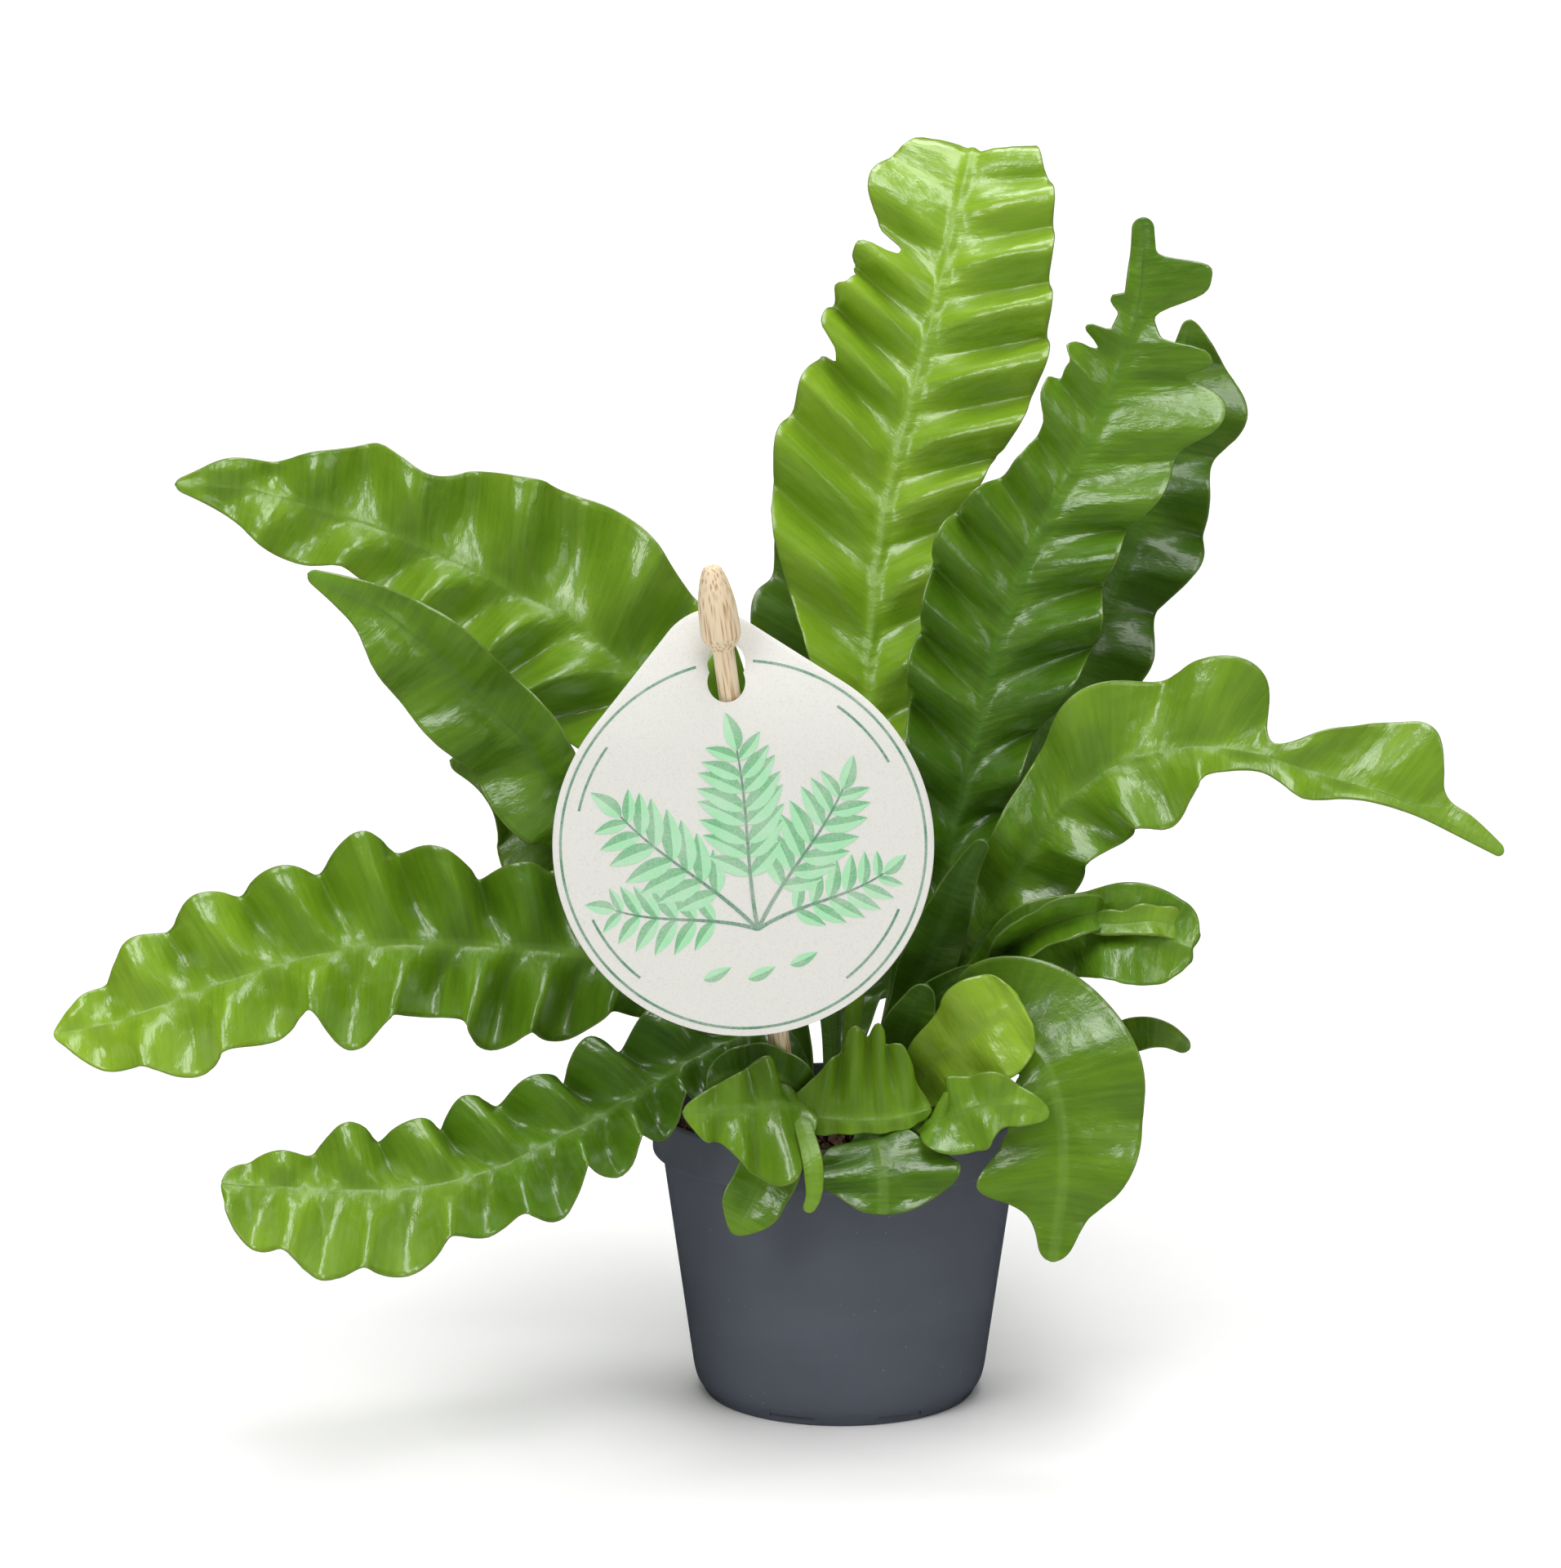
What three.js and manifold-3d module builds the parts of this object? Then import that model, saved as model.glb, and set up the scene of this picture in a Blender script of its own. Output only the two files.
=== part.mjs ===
// Bird's nest fern with waved fronds in a small nursery pot, with a hang card on a bamboo pin.
// Millimetres, +Z up. The pot stands on z = 0 and its axis is the Z axis.
import * as THREE from 'three';
import { mergeVertices } from 'three/addons/utils/BufferGeometryUtils.js';
import Module from 'manifold-3d';

const wasm = await Module();
wasm.setup();

// Driving sizes
const potHeight = 93;
const rimRadius = 60;
const bandHeight = 14;
const wallTopRadius = 57;
const wallFootRadius = 47;
const footRadius = 43.4;
const footCount = 8;
const footGapDepth = 3;
const drainHoles = 4;
const wall = 1.2;
const floorHeight = 3.6;
const soilTop = 85;
const crownRadius = 31;
const crownHeight = 12;
const clearance = 0.3;
const frondRoot = 88;
const petioleThickness = 3.4;
const ribThicknessTip = 1.6;
const bladeThickness = 0.7;
const pinRadius = 3.25;
const pinHeadRadius = 6;
const pinHeadLength = 26;
const cardRadius = 56.4;
const cardThickness = 0.6;
const potSides = 32;

// Outlines read from the front view, in whole millimetres where they matter.
// path: midrib from root to tip. face: which way the upper face looks, evenly spaced along it.
// left, right: blade width at even steps along the midrib, seen on the upper face with the tip up.
// crests: where along the midrib each side's ruffle stands highest. ruffle: its height.
// sweep: how far the margin leans to the tip. scallop: swelling of the margin at a crest.
// cup: rise of each half in degrees. lobes: side, place, half length and height of one extra lobe.
const fronds = [
  {
    name: 'tall',
    path: [[2, 9, 88], [6, 12, 140], [9, 18, 183], [10, 30, 236], [15, 44, 278], [24, 54, 314],
      [34, 66, 354], [42, 80, 388], [45, 91, 395], [46, 102, 390]],
    face: [[0, -1, 0], [0, -1, 0], [0, -1, .1], [0, -.8, .6], [0, -.2, 1]],
    left: [2.5, 2.5, 2.5, 3, 4, 7, 10, 14, 20, 30, 37, 39, 37, 34, 34, 31, 23, 29, 27, 19, 8],
    right: [2.5, 2.5, 2.5, 3, 4, 6, 9, 13, 16, 19, 22, 26, 31, 37, 40, 38, 35, 33, 29, 20, 8],
    crestsLeft: [.3, .4, .48, .555, .615, .68, .735, .785, .86, .96],
    crestsRight: [.33, .41, .5, .58, .64, .7, .76, .82, .88, .94],
    ruffle: [5, 5, 5, 6, 1],
    steps: 48,
    sweep: [.6, .45], scallop: [.02, .02], cup: [14, 14],
    lobes: [[0, .803, .009, -8], [0, .777, .012, 3.5], [0, .742, .006, -5], [0, .665, .007, -6]],
  },
  {
    name: 'crested',
    path: [[11, 3, 88], [22, 0, 120], [31, -1, 155], [40, 0, 198], [49, 2, 238], [59, 4, 268],
      [72, 6, 294], [84, 8, 319], [92, 8, 343], [94, 8, 361], [94, 8, 374]],
    face: [[0, -1, 0], [-.1, -1, .1], [0, -1, .1]],
    left: [2.5, 2.5, 2.5, 3, 5, 9, 14, 19, 24, 26, 26, 29, 27, 20, 16, 15, 16, 8, 5, 4, 3],
    right: [2.5, 2.5, 2.5, 3, 5, 8, 12, 15, 18, 26, 31, 27, 26, 25, 28, 28, 30, 14, 5, 4, 3],
    crestsLeft: [.22, .3, .37, .44, .505, .565, .62, .68, .75, .81, .87],
    crestsRight: [.2, .29, .37, .45, .53, .61, .69, .78, .86],
    ruffle: [6, 7, 7, 6, 3, 1],
    steps: 48,
    sweep: [.55, .6], scallop: [.02, .02], cup: [16, 12],
    lobes: [[0, .825, .012, 5], [0, .858, .006, 8], [0, .76, .018, 5], [0, .905, .006, 5],
      [1, .93, .024, 17], [1, .853, .01, 14], [1, .79, .03, 4]],
  },
  {
    name: 'back_right',
    path: [[17, 13, 88], [36, 24, 130], [54, 30, 181], [70, 42, 214], [85, 50, 243], [97, 56, 272],
      [105, 60, 298], [111, 62, 322], [115, 62, 340]],
    face: [[0, -1, 0], [0, -1, 0]],
    left: [2.5, 2.5, 5, 10, 18, 24, 28, 30, 30, 30, 28, 26, 22, 14, 8, 5, 2],
    right: [2.5, 2.5, 4, 8, 12, 15, 17, 18, 19, 21, 18, 19, 24, 17, 23, 19, 2],
    crestsLeft: [.2, .33, .45, .56, .67, .78, .9],
    crestsRight: [.2, .33, .42, .5, .6, .71, .8, .9],
    ruffle: [6, 6, 7, 6, 4],
    steps: 38,
    sweep: [.3, .15], scallop: [.03, .06], cup: [10, 10],
  },
  {
    name: 'upper_left',
    path: [[-9, 5, 88], [-15, 5, 122], [-25, 7, 156], [-40, 10, 191], [-62, 13, 224], [-73, 15, 237],
      [-86, 17, 248], [-100, 20, 254], [-123, 22, 265], [-146, 24, 275], [-173, 24, 284],
      [-192, 22, 289], [-211, 20, 290]],
    face: [[0, -1, .2], [0, -1, .3], [0, -1, .2]],
    left: [2.5, 2.5, 2.5, 4, 6, 10, 16, 22, 26, 29, 34, 33, 26, 22, 20, 18, 16, 18, 16, 8, 1.5],
    right: [2.5, 2.5, 2.5, 4, 8, 14, 20, 26, 30, 32, 32, 35, 37, 32, 30, 21, 26, 18, 11, 8, 1.5],
    crestsLeft: [.2, .33, .42, .52, .61, .7, .8, .9],
    crestsRight: [.34, .43, .53, .64, .76, .86, .95],
    ruffle: [5, 6, 7, 7, 5, 3],
    steps: 44,
    sweep: [.35, .35], scallop: [-.02, .02], cup: [8, 14],
  },
  {
    name: 'curled',
    path: [[-17, -4, 88], [-24, -5, 130], [-74, -12, 186], [-89, -18, 200], [-99, -23, 214],
      [-110, -26, 226], [-120, -31, 237], [-130, -34, 247], [-140, -37, 256], [-152, -40, 263],
      [-162, -42, 268]],
    face: [[0, -1, 0], [0, -1, .2], [0, -1, .2]],
    left: [2.5, 2.5, 3, 6, 9, 13, 17, 20, 18, 19, 16, 8, 1.5],
    right: [2.5, 2.5, 3, 4, 5, 6, 7, 11, 14, 13, 11, 6, 1.5],
    crestsLeft: [.2, .38, .54, .7, .86],
    crestsRight: [.2, .4, .6, .8, .95],
    ruffle: [3, 4, 4, 2],
    steps: 34,
    sweep: [.3, .3], scallop: [.04, .04], cup: [10, 30],
  },
  {
    name: 'short_left',
    path: [[-23, 6, 88], [-37, 3, 122], [-55, -1, 154], [-74, -4, 178], [-91, -7, 192],
      [-108, -9, 201], [-122, -11, 206]],
    face: [[0, -1, 0], [0, -1, .2]],
    left: [2.5, 3, 8, 16, 24, 27, 29, 28, 22, 8, 2],
    right: [2.5, 3, 5, 8, 10, 11, 10, 8, 5, 3, 2],
    crestsLeft: [.3, .5, .7, .9],
    crestsRight: [.3, .5, .7, .9],
    ruffle: [4, 4],
    steps: 26,
    sweep: [.3, .3], scallop: [.04, .04], cup: [8, 14],
  },
  {
    name: 'long_left',
    path: [[-11, -13, 88], [-13, -16, 115], [-25, -20, 136], [-43, -26, 144], [-85, -36, 150],
      [-126, -44, 154], [-154, -48, 153], [-185, -50, 145], [-221, -50, 132], [-242, -50, 127]],
    face: [[-.3, -.8, .5], [0, -1, .35], [0, -.9, .5], [0, -.8, .6]],
    left: [2.5, 2.5, 3, 6, 10, 14, 17, 19, 26, 29, 30, 21, 26, 30, 20, 21, 25, 24, 20, 13, 2],
    right: [2.5, 2.5, 4, 8, 13, 19, 24, 27, 27, 24, 23, 29, 32, 27, 26, 27, 24, 23, 17, 12, 2],
    crestsLeft: [.25, .36, .44, .51, .6, .7, .8, .9],
    crestsRight: [.26, .36, .45, .53, .61, .69, .78, .88],
    ruffle: [6, 7, 7, 6, 3],
    steps: 46,
    sweep: [.2, .35], scallop: [-.04, .04], cup: [6, 14],
  },
  {
    name: 'low_left',
    path: [[-5, -20, 88], [-14, -24, 112], [-25, -33, 124], [-43, -45, 120], [-65, -58, 109],
      [-85, -68, 100], [-107, -76, 91], [-131, -82, 87], [-155, -86, 88], [-186, -88, 90]],
    face: [[-.2, -.6, .8], [0, -.7, .7], [0, -.8, .6]],
    left: [2.5, 2.5, 3, 5, 7, 10, 12, 14, 15, 19, 18, 20, 24, 18, 23, 26, 30, 27, 23, 18, 8],
    right: [2.5, 2.5, 3, 6, 10, 14, 17, 19, 20, 19, 17, 22, 21, 21, 18, 19, 19, 15, 10, 9, 6],
    crestsLeft: [.2, .28, .36, .44, .52, .61, .7, .8, .9],
    crestsRight: [.2, .3, .4, .5, .6, .7, .82, .92],
    ruffle: [4, 6, 7, 6, 3],
    steps: 40,
    sweep: [.2, .35], scallop: [-.04, .04], cup: [6, 10],
  },
  {
    name: 'right',
    path: [[19, -3, 88], [26, -4, 115], [38, -8, 140], [53, -14, 167], [69, -19, 193], [86, -24, 207],
      [106, -29, 213], [125, -32, 212], [145, -34, 206], [168, -36, 199], [188, -38, 190],
      [203, -40, 182]],
    face: [[0, -1, .3], [0, -.9, .4], [0, -.9, .4]],
    left: [2.5, 2.5, 3, 4, 6, 9, 12, 12, 14, 18, 23, 22, 25, 23, 5, 14, 23, 23, 9, 5, 1.5],
    right: [2.5, 2.5, 3, 4, 6, 10, 14, 18, 18, 21, 23, 24, 17, 8, 5, 10, 5, 3, 2, 2, 1.5],
    crestsLeft: [.22, .36, .5, .62, .74, .86],
    crestsRight: [.2, .3, .4, .5, .62, .74, .86],
    ruffle: [4, 6, 6, 4, 2],
    steps: 42,
    sweep: [.5, .2], scallop: [.03, -.03], cup: [10, 10],
  },
  {
    name: 'drooping',
    path: [[15, -17, 88], [24, -25, 105], [36, -35, 118], [49, -46, 126], [60, -56, 122],
      [66, -62, 106], [67, -66, 85], [64, -67, 60]],
    face: [[0, -.5, .8], [0, -1, .3], [.1, -1, .1], [.1, -1, .1]],
    left: [2.5, 3, 4, 10, 20, 25, 27, 27, 25, 18, 9, 3],
    right: [2.5, 3, 4, 6, 7, 8, 10, 15, 20, 25, 9, 3],
    crestsLeft: [.2, .4, .6, .8],
    crestsRight: [.2, .4, .6, .8],
    ruffle: [3, 3],
    steps: 26,
    sweep: [.1, .2], scallop: [.02, .04], cup: [-4, -8],
  },
  {
    name: 'rolled',
    path: [[24, -9, 88], [29, -11, 110], [37, -16, 129], [50, -24, 143], [66, -29, 152],
      [84, -33, 156], [100, -37, 154], [108, -39, 152]],
    face: [[0, -.8, .5], [0, -1, .3]],
    left: [2.5, 2.5, 3, 6, 10, 13, 14, 14, 12],
    right: [2.5, 2.5, 3, 8, 13, 13, 15, 16, 11],
    crestsLeft: [.3, .58, .86],
    crestsRight: [.28, .5, .8],
    ruffle: [3.5, 3.5],
    steps: 22,
    sweep: [.2, .2], scallop: [.05, .05], cup: [10, 18],
  },
  {
    name: 'rolled_tube',
    branchOf: 'rolled',
    path: [[49, -23, 144], [56, -32, 153], [65, -36, 159], [75, -37, 162], [82, -31, 161]],
    face: [[0, -1, .2], [0, -1, .2]],
    left: [4, 9, 11, 12, 11, 7, 3],
    right: [2.5, 4.5, 9, 10, 9, 6, 3],
    crestsLeft: [.3, .7],
    crestsRight: [.3, .7],
    ruffle: [1, 1],
    steps: 10,
    sweep: [.1, .1], scallop: [.05, .05], cup: [62, 58],
  },
  {
    name: 'rolled_tuft',
    branchOf: 'rolled',
    path: [[75, -34, 159], [85, -37, 159], [96, -38, 160], [106, -34, 157]],
    face: [[0, -1, .3], [0, -1, .3]],
    left: [2, 5, 3, 7, 4, 7, 4],
    right: [2, 4, 2.5, 5, 3, 5, 3],
    crestsLeft: [.2, .5, .8],
    crestsRight: [.3, .6, .9],
    ruffle: [2, 2],
    steps: 10, across: 2,
    sweep: [.3, .3], scallop: [.05, .05], cup: [20, 20],
  },
  {
    name: 'small_right',
    path: [[26, 2, 88], [34, 1, 104], [81, -4, 111], [93, -10, 118], [102, -14, 119], [110, -16, 115]],
    face: [[0, -1, .4], [0, -1, .4]],
    left: [2.5, 3, 4, 5, 6, 5, 2],
    right: [2.5, 3, 4, 5, 6, 5, 2],
    crestsLeft: [.3, .6, .9],
    crestsRight: [.3, .6, .9],
    ruffle: [1, 1],
    steps: 10, across: 2,
    sweep: [.2, .2], scallop: [.03, .03], cup: [10, 10],
  },
  {
    name: 'front_fan',
    path: [[8, -20, 88], [22, -40, 107], [30, -51, 120], [41, -58, 131], [53, -62, 140]],
    face: [[0, -.2, 1], [0, -1, .6], [0, -1, .4], [0, -1, .3]],
    left: [2.5, 2.5, 4, 7, 9, 12, 14, 11],
    right: [2.5, 2.5, 4, 9, 13, 16, 18, 14],
    crestsLeft: [.3, .55, .8],
    crestsRight: [.3, .55, .8],
    ruffle: [2, 2],
    steps: 14,
    sweep: [.1, .1], scallop: [.03, .03], cup: [6, 6],
  },
  {
    name: 'front_right',
    path: [[15, -22, 88], [20, -42, 97], [25, -56, 101], [33, -67, 106], [43, -71, 110],
      [53, -72, 110], [62, -72, 107]],
    face: [[0, -.2, 1], [0, -.4, 1], [0, -.7, .7], [0, -1, .2], [0, -1, .2]],
    left: [2.5, 2.5, 2.5, 2.5, 3, 8, 10, 10, 9, 5, 2],
    right: [2.5, 2.5, 2.5, 2.5, 2.5, 6, 12, 13, 8, 6, 2],
    crestsLeft: [.5, .65, .8, .95],
    crestsRight: [.55, .75, .95],
    ruffle: [2.5, 2.5],
    steps: 16,
    sweep: [.1, .1], scallop: [.06, .08], cup: [5, 0],
  },
  {
    name: 'front_band',
    branchOf: 'front_left',
    path: [[-15, -61, 105], [-11, -61, 104.3], [-4, -61, 103.3], [5, -62, 103], [14, -62, 103.3],
      [21, -60, 104.3], [27, -57, 105.5]],
    face: [[0, -1, .1], [0, -1, 0]],
    left: [6, 12, 18, 24, 27, 28, 27, 24, 17, 5],
    right: [3, 5, 5, 4.5, 4, 4, 4, 4, 3, 2],
    crestsLeft: [.18, .42, .64, .86],
    crestsRight: [.2, .4, .6, .8],
    ruffle: [2.6, 3, 2.6, 2.2],
    steps: 22,
    sweep: [0, .1], scallop: [.1, .02], cup: [0, 0],
  },
  {
    name: 'front_lower',
    path: [[5, -27, 88], [6, -44, 96], [9, -58, 98], [11, -67, 95], [12, -73, 87], [12, -75, 77]],
    face: [[0, -.2, 1], [0, -.3, 1], [0, -.9, .5], [0, -1, .1]],
    left: [2.5, 2.5, 2.5, 2.5, 3, 5, 10, 18, 23, 18, 8],
    right: [2.5, 2.5, 2.5, 2.5, 3, 7, 15, 21, 21, 16, 8],
    crestsLeft: [.2, .4, .6, .8],
    crestsRight: [.2, .4, .6, .8],
    ruffle: [2, 2],
    steps: 16,
    sweep: [0, 0], scallop: [.03, .03], cup: [-6, -6],
  },
  {
    name: 'front_left',
    path: [[-11, -23, 88], [-8, -43, 99], [-10, -58, 106], [-18, -67, 109], [-29, -72, 109],
      [-39, -75, 109], [-48, -77, 109]],
    face: [[0, -.2, 1], [0, -.3, 1], [0, -.6, .8], [0, -1, .2], [0, -1, .1]],
    left: [2.5, 2.5, 2.5, 2.5, 2.5, 2.5, 4, 18, 24, 20, 11, 9, 3],
    right: [2.5, 2.5, 2.5, 2.5, 2.5, 3, 6, 11, 14, 12, 9, 6, 2],
    crestsLeft: [.5, .65, .8, .95],
    crestsRight: [.5, .65, .8, .95],
    ruffle: [1, 1, 3, 3],
    steps: 22,
    sweep: [.1, .1], scallop: [.05, .05], cup: [0, 5],
  },
  {
    name: 'front_shade',
    branchOf: 'front_left',
    path: [[-9, -56, 105], [-13, -56, 110], [-19, -57, 114], [-27, -58, 116], [-35, -59, 116],
      [-41, -61, 113]],
    face: [[0, -1, .1], [0, -1, .1]],
    left: [4, 8, 11, 12, 11, 8, 3],
    right: [3, 7, 9, 10, 9, 6, 2],
    crestsLeft: [.25, .5, .75],
    crestsRight: [.25, .5, .75],
    ruffle: [2, 2],
    steps: 12, across: 2,
    sweep: [.2, .2], scallop: [.05, .05], cup: [0, 6],
  },
  {
    name: 'front_cup',
    path: [[-19, -18, 88], [-24, -38, 99], [-24, -53, 101], [-21, -62, 95], [-24, -64, 86],
      [-29, -66, 76], [-33, -68, 69]],
    face: [[0, -.3, 1], [0, -.5, .9], [0, -1, .4], [0, -1, 0]],
    left: [2.5, 2.5, 2.5, 2.5, 2.5, 4, 8, 11, 10, 8, 3],
    right: [2.5, 2.5, 2.5, 2.5, 3, 6, 8, 9, 9, 8, 3],
    crestsLeft: [.3, .6, .9],
    crestsRight: [.3, .6, .9],
    ruffle: [1.5, 1.5],
    steps: 14,
    sweep: [.1, .1], scallop: [.04, .04], cup: [25, 25],
  },
  {
    name: 'front_finger',
    branchOf: 'front_left',
    path: [[-13, -62, 106], [-12, -70, 103], [-10, -76, 97], [-9, -79, 91], [-9, -80, 84],
      [-11, -80, 79]],
    face: [[0, -.5, .9], [0, -1, .3], [0, -1, 0]],
    left: [2, 2.4, 2.6, 2.8, 2.7, 2.2, 1.5],
    right: [2, 2.4, 2.6, 2.8, 2.7, 2.2, 1.5],
    crestsLeft: [.3, .6, .9],
    crestsRight: [.3, .6, .9],
    ruffle: [0, 0],
    steps: 8, across: 2,
    sweep: [.1, .1], scallop: [0, 0], cup: [0, 0],
  },
  {
    name: 'inner_tall',
    path: [[5, -4, 88], [21, -12, 128], [30, -21, 151], [37, -28, 171], [44, -31, 184]],
    face: [[0, -1, .1], [0, -1, .1]],
    left: [2.5, 3, 5, 8, 8, 5, 2],
    right: [2.5, 3, 5, 8, 8, 5, 2],
    crestsLeft: [.3, .55, .8],
    crestsRight: [.3, .55, .8],
    ruffle: [2, 2],
    steps: 14,
    sweep: [.4, .4], scallop: [.05, .05], cup: [15, 15],
  },
  {
    name: 'inner_low',
    path: [[7, -12, 88], [19, -20, 119], [28, -25, 132], [37, -28, 140], [43, -30, 143]],
    face: [[0, -1, .3], [0, -1, .3]],
    left: [2.5, 3, 5, 7, 6, 4, 2],
    right: [2.5, 3, 5, 6, 6, 4, 2],
    crestsLeft: [.3, .55, .8],
    crestsRight: [.3, .55, .8],
    ruffle: [1.5, 1.5],
    steps: 12,
    sweep: [.4, .4], scallop: [.05, .05], cup: [8, 8],
  },
  {
    name: 'inner_oval',
    path: [[-1, -14, 88], [3, -21, 103], [16, -30, 114], [21, -37, 127], [26, -39, 140]],
    face: [[0, -1, .3], [0, -1, .3]],
    left: [2.5, 3, 6, 8, 7, 3],
    right: [2.5, 3, 6, 7, 7, 3],
    crestsLeft: [.3, .55, .8],
    crestsRight: [.3, .55, .8],
    ruffle: [1, 1],
    steps: 10,
    sweep: [.2, .2], scallop: [.05, .05], cup: [8, 8],
  },
  {
    name: 'back_tall',
    path: [[-2, 19, 88], [-3, 38, 150], [0, 64, 212], [8, 92, 262], [16, 116, 300], [24, 134, 324]],
    face: [[0, -1, .2], [0, -1, .5], [0, -.8, .8]],
    left: [2.5, 3, 8, 20, 28, 31, 30, 26, 18, 10, 2],
    right: [2.5, 3, 6, 14, 22, 28, 30, 26, 18, 10, 2],
    crestsLeft: [.2, .32, .44, .56, .68, .8, .92],
    crestsRight: [.2, .32, .44, .56, .68, .8, .92],
    ruffle: [5, 5],
    steps: 30, across: 2,
    sweep: [.4, .4], scallop: [.05, .05], cup: [10, 10],
  },
  {
    name: 'back_side',
    path: [[10, 21, 88], [26, 44, 140], [42, 72, 190], [60, 98, 232], [80, 118, 262], [98, 130, 280]],
    face: [[0, -1, .2], [0, -1, .5], [0, -.8, .8]],
    left: [2.5, 3, 6, 14, 20, 24, 24, 22, 14, 8, 2],
    right: [2.5, 3, 6, 12, 18, 20, 20, 18, 12, 6, 2],
    crestsLeft: [.2, .32, .44, .56, .68, .8, .92],
    crestsRight: [.2, .32, .44, .56, .68, .8, .92],
    ruffle: [5, 5],
    steps: 28, across: 2,
    sweep: [.4, .4], scallop: [.05, .05], cup: [10, 10],
  },
  {
    name: 'back_left',
    path: [[-13, 14, 88], [-28, 34, 136], [-48, 56, 178], [-70, 78, 206], [-94, 98, 222],
      [-116, 114, 226]],
    face: [[0, -1, .3], [0, -1, .6], [0, -.7, .8]],
    left: [2.5, 3, 6, 14, 20, 22, 22, 18, 12, 6, 2],
    right: [2.5, 3, 6, 14, 20, 22, 24, 20, 14, 8, 2],
    crestsLeft: [.2, .32, .44, .56, .68, .8, .92],
    crestsRight: [.2, .32, .44, .56, .68, .8, .92],
    ruffle: [5, 5],
    steps: 26, across: 2,
    sweep: [.3, .3], scallop: [.05, .05], cup: [10, 10],
  },
  {
    name: 'back_low',
    path: [[2, 26, 88], [6, 56, 112], [12, 92, 126], [18, 128, 128], [22, 162, 118], [24, 184, 104]],
    face: [[0, .2, 1], [0, .2, 1]],
    left: [2.5, 3, 8, 16, 22, 25, 24, 20, 14, 8, 2],
    right: [2.5, 3, 8, 16, 22, 25, 24, 20, 14, 8, 2],
    crestsLeft: [.2, .32, .44, .56, .68, .8, .92],
    crestsRight: [.2, .32, .44, .56, .68, .8, .92],
    ruffle: [5, 5],
    steps: 22, across: 2,
    sweep: [.4, .4], scallop: [.05, .05], cup: [10, 10],
  },
];

const lerp = (a, b, t) => a + (b - a) * t;
const clamp01 = (x) => Math.min(1, Math.max(0, x));
const smooth = (x) => { const t = clamp01(x); return t * t * (3 - 2 * t); };

// Catmull-Rom through evenly spaced points, t from 0 to 1
function through(points, t) {
  const n = points.length - 1;
  const s = Math.min(Math.max(t * n, 0), n - 1e-9);
  const i = Math.floor(s), r = s - i;
  const at = (k) => {
    if (k < 0) return points[0].map((q, j) => 2 * q - points[1][j]);
    if (k > n) return points[n].map((q, j) => 2 * q - points[n - 1][j]);
    return points[k];
  };
  const [a, b, c, d] = [at(i - 1), at(i), at(i + 1), at(i + 2)];
  return b.map((q, j) => {
    const t0 = (c[j] - a[j]) / 2, t1 = (d[j] - b[j]) / 2;
    return q + t0 * r + (-3 * q + 3 * c[j] - 2 * t0 - t1) * r * r
      + (2 * q - 2 * c[j] + t0 + t1) * r * r * r;
  });
}
const widthAt = (values, u) => Math.max(0.8, through(values.map((q) => [q]), u)[0]);

// Straight steps between evenly spaced keys, for numbers or vectors
function keyed(keys, u) {
  const s = clamp01(u) * (keys.length - 1);
  const i = Math.min(Math.floor(s), keys.length - 2), r = s - i;
  return Array.isArray(keys[0]) ? keys[i].map((q, j) => lerp(q, keys[i + 1][j], r))
    : lerp(keys[i], keys[i + 1], r);
}

// Midrib measured by arc length
function midrib(path) {
  const steps = 400, length = [0];
  let last = through(path, 0);
  for (let i = 1; i <= steps; i++) {
    const next = through(path, i / steps);
    length.push(length[i - 1] + Math.hypot(...next.map((q, j) => q - last[j])));
    last = next;
  }
  const total = length[steps];
  const at = (u) => {
    const want = clamp01(u) * total;
    let i = 1;
    while (i < steps && length[i] < want) i++;
    const r = (want - length[i - 1]) / (length[i] - length[i - 1]);
    return new THREE.Vector3(...through(path, (i - 1 + r) / steps));
  };
  return { at, total, along: (u) => at(u + 0.004).sub(at(u - 0.004)).normalize() };
}

// Ruffle phase that passes a quarter turn at each crest
function phaseAt(crests, u) {
  const n = crests.length, first = crests[1] - crests[0], last = crests[n - 1] - crests[n - 2];
  let turns;
  if (u <= crests[0]) turns = (u - crests[0]) / first;
  else if (u >= crests[n - 1]) turns = n - 1 + (u - crests[n - 1]) / last;
  else {
    let i = 0;
    while (u > crests[i + 1]) i++;
    turns = i + (u - crests[i]) / (crests[i + 1] - crests[i]);
  }
  return 2 * Math.PI * turns + Math.PI / 2;
}

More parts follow.
